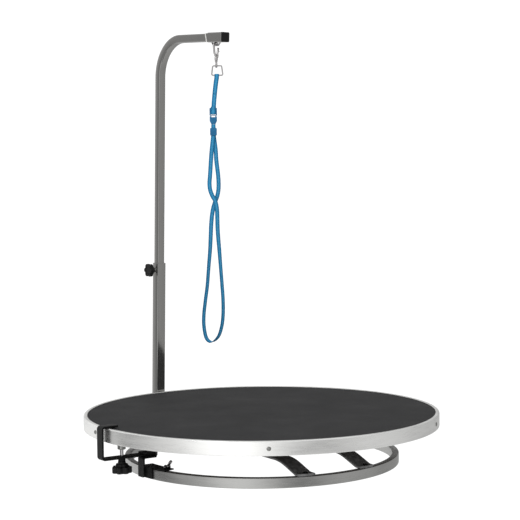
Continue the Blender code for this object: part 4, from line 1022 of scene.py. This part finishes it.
def make_buckle():
    """A side-release buckle in two halves, the hanger's front ply and the slider below."""
    origin = noose_origin()
    low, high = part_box("buckle_male")
    centre_x = origin.x + BUCKLE_X

    def centred(shape, aside=0.0):
        return moved(shape, (centre_x + aside, origin.y, 0))

    def upright(outline, depth, edge):
        return centred(moved(slab(outline, -depth / 2, depth / 2, edge), stood_in_xz()))

    def block(width, bottom, top, depth, corner, edge):
        section = soft_rectangle(width, top - bottom, corner, 4)
        return upright([(x, (bottom + top) / 2 + z) for x, z in section], depth, edge)

    body_low = low.z + PRONG_LENGTH
    body = block(0.0175, body_low, high.z, BUCKLE_DEPTH, 0.0018, 0.0010)
    male = piece("buckle_top_half", body, "hanger", ["buckle_male"], "blue_plastic")
    cut(male, block(0.0118, body_low + 0.0012, body_low + 0.0042, THROUGH, 0.0006, 0.0001))

    front = origin + Vector((BUCKLE_X, -PLY_OUT, 0))
    turn_in = origin + Vector((BUCKLE_X, 0, body_low + 0.0030 - origin.z))
    down = [
        Vector((front.x, origin.y - PLY_OUT * out, high.z + 0.0030 - 0.0034 * fall))
        for fall, out in ((0.15, 0.15), (0.5, 0.6), (0.85, 0.95))
    ]
    face = (high.z - 0.0012, (high.z + body_low) / 2, body_low + 0.0052)
    down += [Vector((front.x, front.y, z)) for z in face]
    down += [turn_in + Vector((0, -0.0034, 0.0006)), turn_in + Vector((0, 0.0010, 0.0004))]
    route = smoothed(down, 0.0010)
    wrap = make_strap("hanger_front", route, "hanger", (), square_on, HANGER_WIDTH)
    sizes = ((0.0012, low.z), (0.0018, low.z + 0.0012), (0.0018, body_low + 0.001))
    prong = loft([level(soft_rectangle(w, 0.0024, 0.0003, 2), z) for w, z in sizes])
    for side in (-1, 1):
        cut(male, centred(prong, side * 0.0054), "UNION")

    low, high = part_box("buckle_female")
    sides = [
        (-0.0050, low.z),
        (0.0050, low.z),
        (BUCKLE_HALF, low.z + 0.0070),
        (BUCKLE_HALF, high.z),
        (-BUCKLE_HALF, high.z),
        (-BUCKLE_HALF, low.z + 0.0070),
    ]
    body = upright(rounded(sides, 0.0014, 4), BUCKLE_DEPTH, 0.0011)
    female = piece("buckle_low_half", body, "noose_loop", ["buckle_female"], "blue_plastic")
    section = soft_rectangle(0.0124, 0.0040, 0.0005, 2)
    mouth = loft([level(section, z) for z in (low.z + 0.0092, high.z + 0.002)])
    cut(female, centred(mouth))
    cut(female, block(0.0115, high.z - 0.0022, high.z + 0.0020, THROUGH, 0.0004, 0.0001))
    section = soft_rectangle(0.0022, 0.0050, 0.0008, 3)
    for side in (-1, 1):
        window = [(side * BUCKLE_HALF + x, high.z - 0.0062 + z) for x, z in section]
        cut(female, upright(window, 0.0042, 0.0001))

    low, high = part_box("noose_slider")
    body = block(0.0157, low.z, high.z, 0.0098, 0.0022, 0.0014)
    slider = piece("slide_block", body, "slider", ["noose_slider"], "blue_plastic")
    section = soft_rectangle(0.0118, 0.0074, 0.0006, 2)
    throat = loft([level(section, z) for z in (low.z - 0.003, high.z + 0.003)])
    cut(slider, centred(throat, -0.0002))
    return male, wrap, female, slider


def make_noose():
    origin = noose_origin()
    male, wrap, female, slider = make_buckle()
    hanger_points = [p + origin for p in smoothed(HANGER_ROUTE, 0.0040)]
    stands_for = ["hanger_webbing"]
    hanger = make_strap("hanger_strap", hanger_points, "hanger", stands_for, square_on, HANGER_WIDTH)
    fold = make_ring_fold(hanger_points)
    loop_points = [p + origin for p in smoothed(LOOP_ROUTE, 0.0050)]

    def across(p):
        height = p.z - origin.z
        turn = math.radians(LOOP_TURN) * (1 - ease(height, 0.42, 0.58))
        tilt = LOOP_FOOT_TILT * (1 - ease(height, 0.262, 0.300))
        return Vector((math.cos(turn), math.sin(turn), tilt))

    loop = make_strap("noose_strap", loop_points, "noose_loop", ["noose_webbing"], across)


# ---------------------------------------------------------------- camera, surroundings and light
SENSOR = 36.0
LENS = 99.62
CLIP_END = 50.0
CAMERA_AT = (0, -3.276, 0.628)
LOOK_DOWN = 0.05104  # radians below level
ROLL = -0.0096  # radians
def make_camera():
    """In front of the table at a little over half its height, looking slightly down."""
    data = bpy.data.cameras.new("camera")
    data.sensor_width = SENSOR
    data.lens = LENS
    data.clip_end = CLIP_END
    camera = placed("camera", data)
    pitch = Matrix.Rotation(math.pi / 2 - LOOK_DOWN, 4, "X")
    roll = Matrix.Rotation(ROLL, 4, "Z")
    camera.matrix_world = Matrix.Translation(CAMERA_AT) @ pitch @ roll
    bpy.context.scene.camera = camera


# how far round the object, from 0 to 1, and the brightness there
SURROUNDINGS = (
    (0.00, 0.36),
    (0.08, 0.60),
    (0.16, 0.82),
    (0.195, 0.46),
    (0.235, 0.16),
    (0.281, 0.34),
    (0.361, 0.58),
    (0.41, 0.92),
    (0.435, 1.02),
    (0.475, 1.02),
    (0.500, 0.80),
    (0.542, 0.42),
    (0.603, 0.27),
    (0.678, 0.52),
    (0.767, 0.43),
    (0.858, 0.32),
    (1.00, 0.36),
)
OVERHEAD = 0.62  # brightness straight up and straight down
OVERHEAD_FROM, OVERHEAD_TO = 0.35, 0.95  # how steep a direction starts and ends the change to it
WORLD_LIGHT = 1.45
BACKDROP = 1.1


def make_world():
    """Plain white behind the object, and a studio for its metal to reflect: brightness by direction."""
    world = bpy.data.worlds.new("studio")
    bpy.context.scene.world = world
    world.use_nodes = True
    tree = world.node_tree
    tree.nodes.clear()

    where = add_node(tree, "ShaderNodeTexCoord")
    split = add_node(tree, "ShaderNodeSeparateXYZ")
    tree.links.new(where.outputs["Generated"], split.inputs[0])
    x, y, z = split.outputs
    angle = add_math(tree, "ARCTAN2", x, add_math(tree, "MULTIPLY", y, -1.0))
    turns = add_math(tree, "DIVIDE", angle, 2 * math.pi)
    round_about = add_math(tree, "ADD", turns, 0.5)
    around = add_node(tree, "ShaderNodeValToRGB")
    set_stops(around, [(at, (bright,) * 3) for at, bright in SURROUNDINGS])
    tree.links.new(round_about, around.inputs["Fac"])
    height = add_node(tree, "ShaderNodeMapRange", interpolation_type="SMOOTHSTEP")
    height.inputs["From Min"].default_value = OVERHEAD_FROM
    height.inputs["From Max"].default_value = OVERHEAD_TO
    tree.links.new(add_math(tree, "ABSOLUTE", z), height.inputs["Value"])
    blend = add_node(tree, "ShaderNodeMixRGB")
    blend.inputs["Color2"].default_value = (OVERHEAD, OVERHEAD, OVERHEAD, 1)
    tree.links.new(height.outputs["Result"], blend.inputs["Fac"])
    tree.links.new(around.outputs["Color"], blend.inputs["Color1"])
    lit = add_node(tree, "ShaderNodeBackground", Strength=WORLD_LIGHT)
    tree.links.new(blend.outputs["Color"], lit.inputs["Color"])
    seen = add_node(tree, "ShaderNodeBackground", Strength=BACKDROP)
    seen.inputs["Color"].default_value = (1, 1, 1, 1)
    path = add_node(tree, "ShaderNodeLightPath")
    mix = add_node(tree, "ShaderNodeMixShader")
    out = add_node(tree, "ShaderNodeOutputWorld")
    tree.links.new(path.outputs["Is Camera Ray"], mix.inputs[0])
    tree.links.new(lit.outputs[0], mix.inputs[1])
    tree.links.new(seen.outputs[0], mix.inputs[2])
    tree.links.new(mix.outputs[0], out.inputs["Surface"])


def make_light():
    """One soft square lamp, above the front and to the left."""
    place, target = Vector((-1.6, -2.4, 3.0)), Vector((0, 0, 0.4))
    data = bpy.data.lights.new("key", "AREA")
    data.shape = "RECTANGLE"
    data.size = data.size_y = 1.2
    data.energy = 14
    lamp = placed("key", data)
    lamp.location = place
    lamp.rotation_euler = (target - place).to_track_quat("-Z", "Y").to_euler()


bpy.context.scene.view_settings.view_transform = "Standard"
dress_nodes()
make_camera()
make_noose()
make_band()
make_mat()
make_rim_screws()
make_ring()
make_tubes()
make_bail()
make_knobs()
make_hook()
make_gate()
make_swivel_eye()
make_noose_ring()
make_world()
make_light()
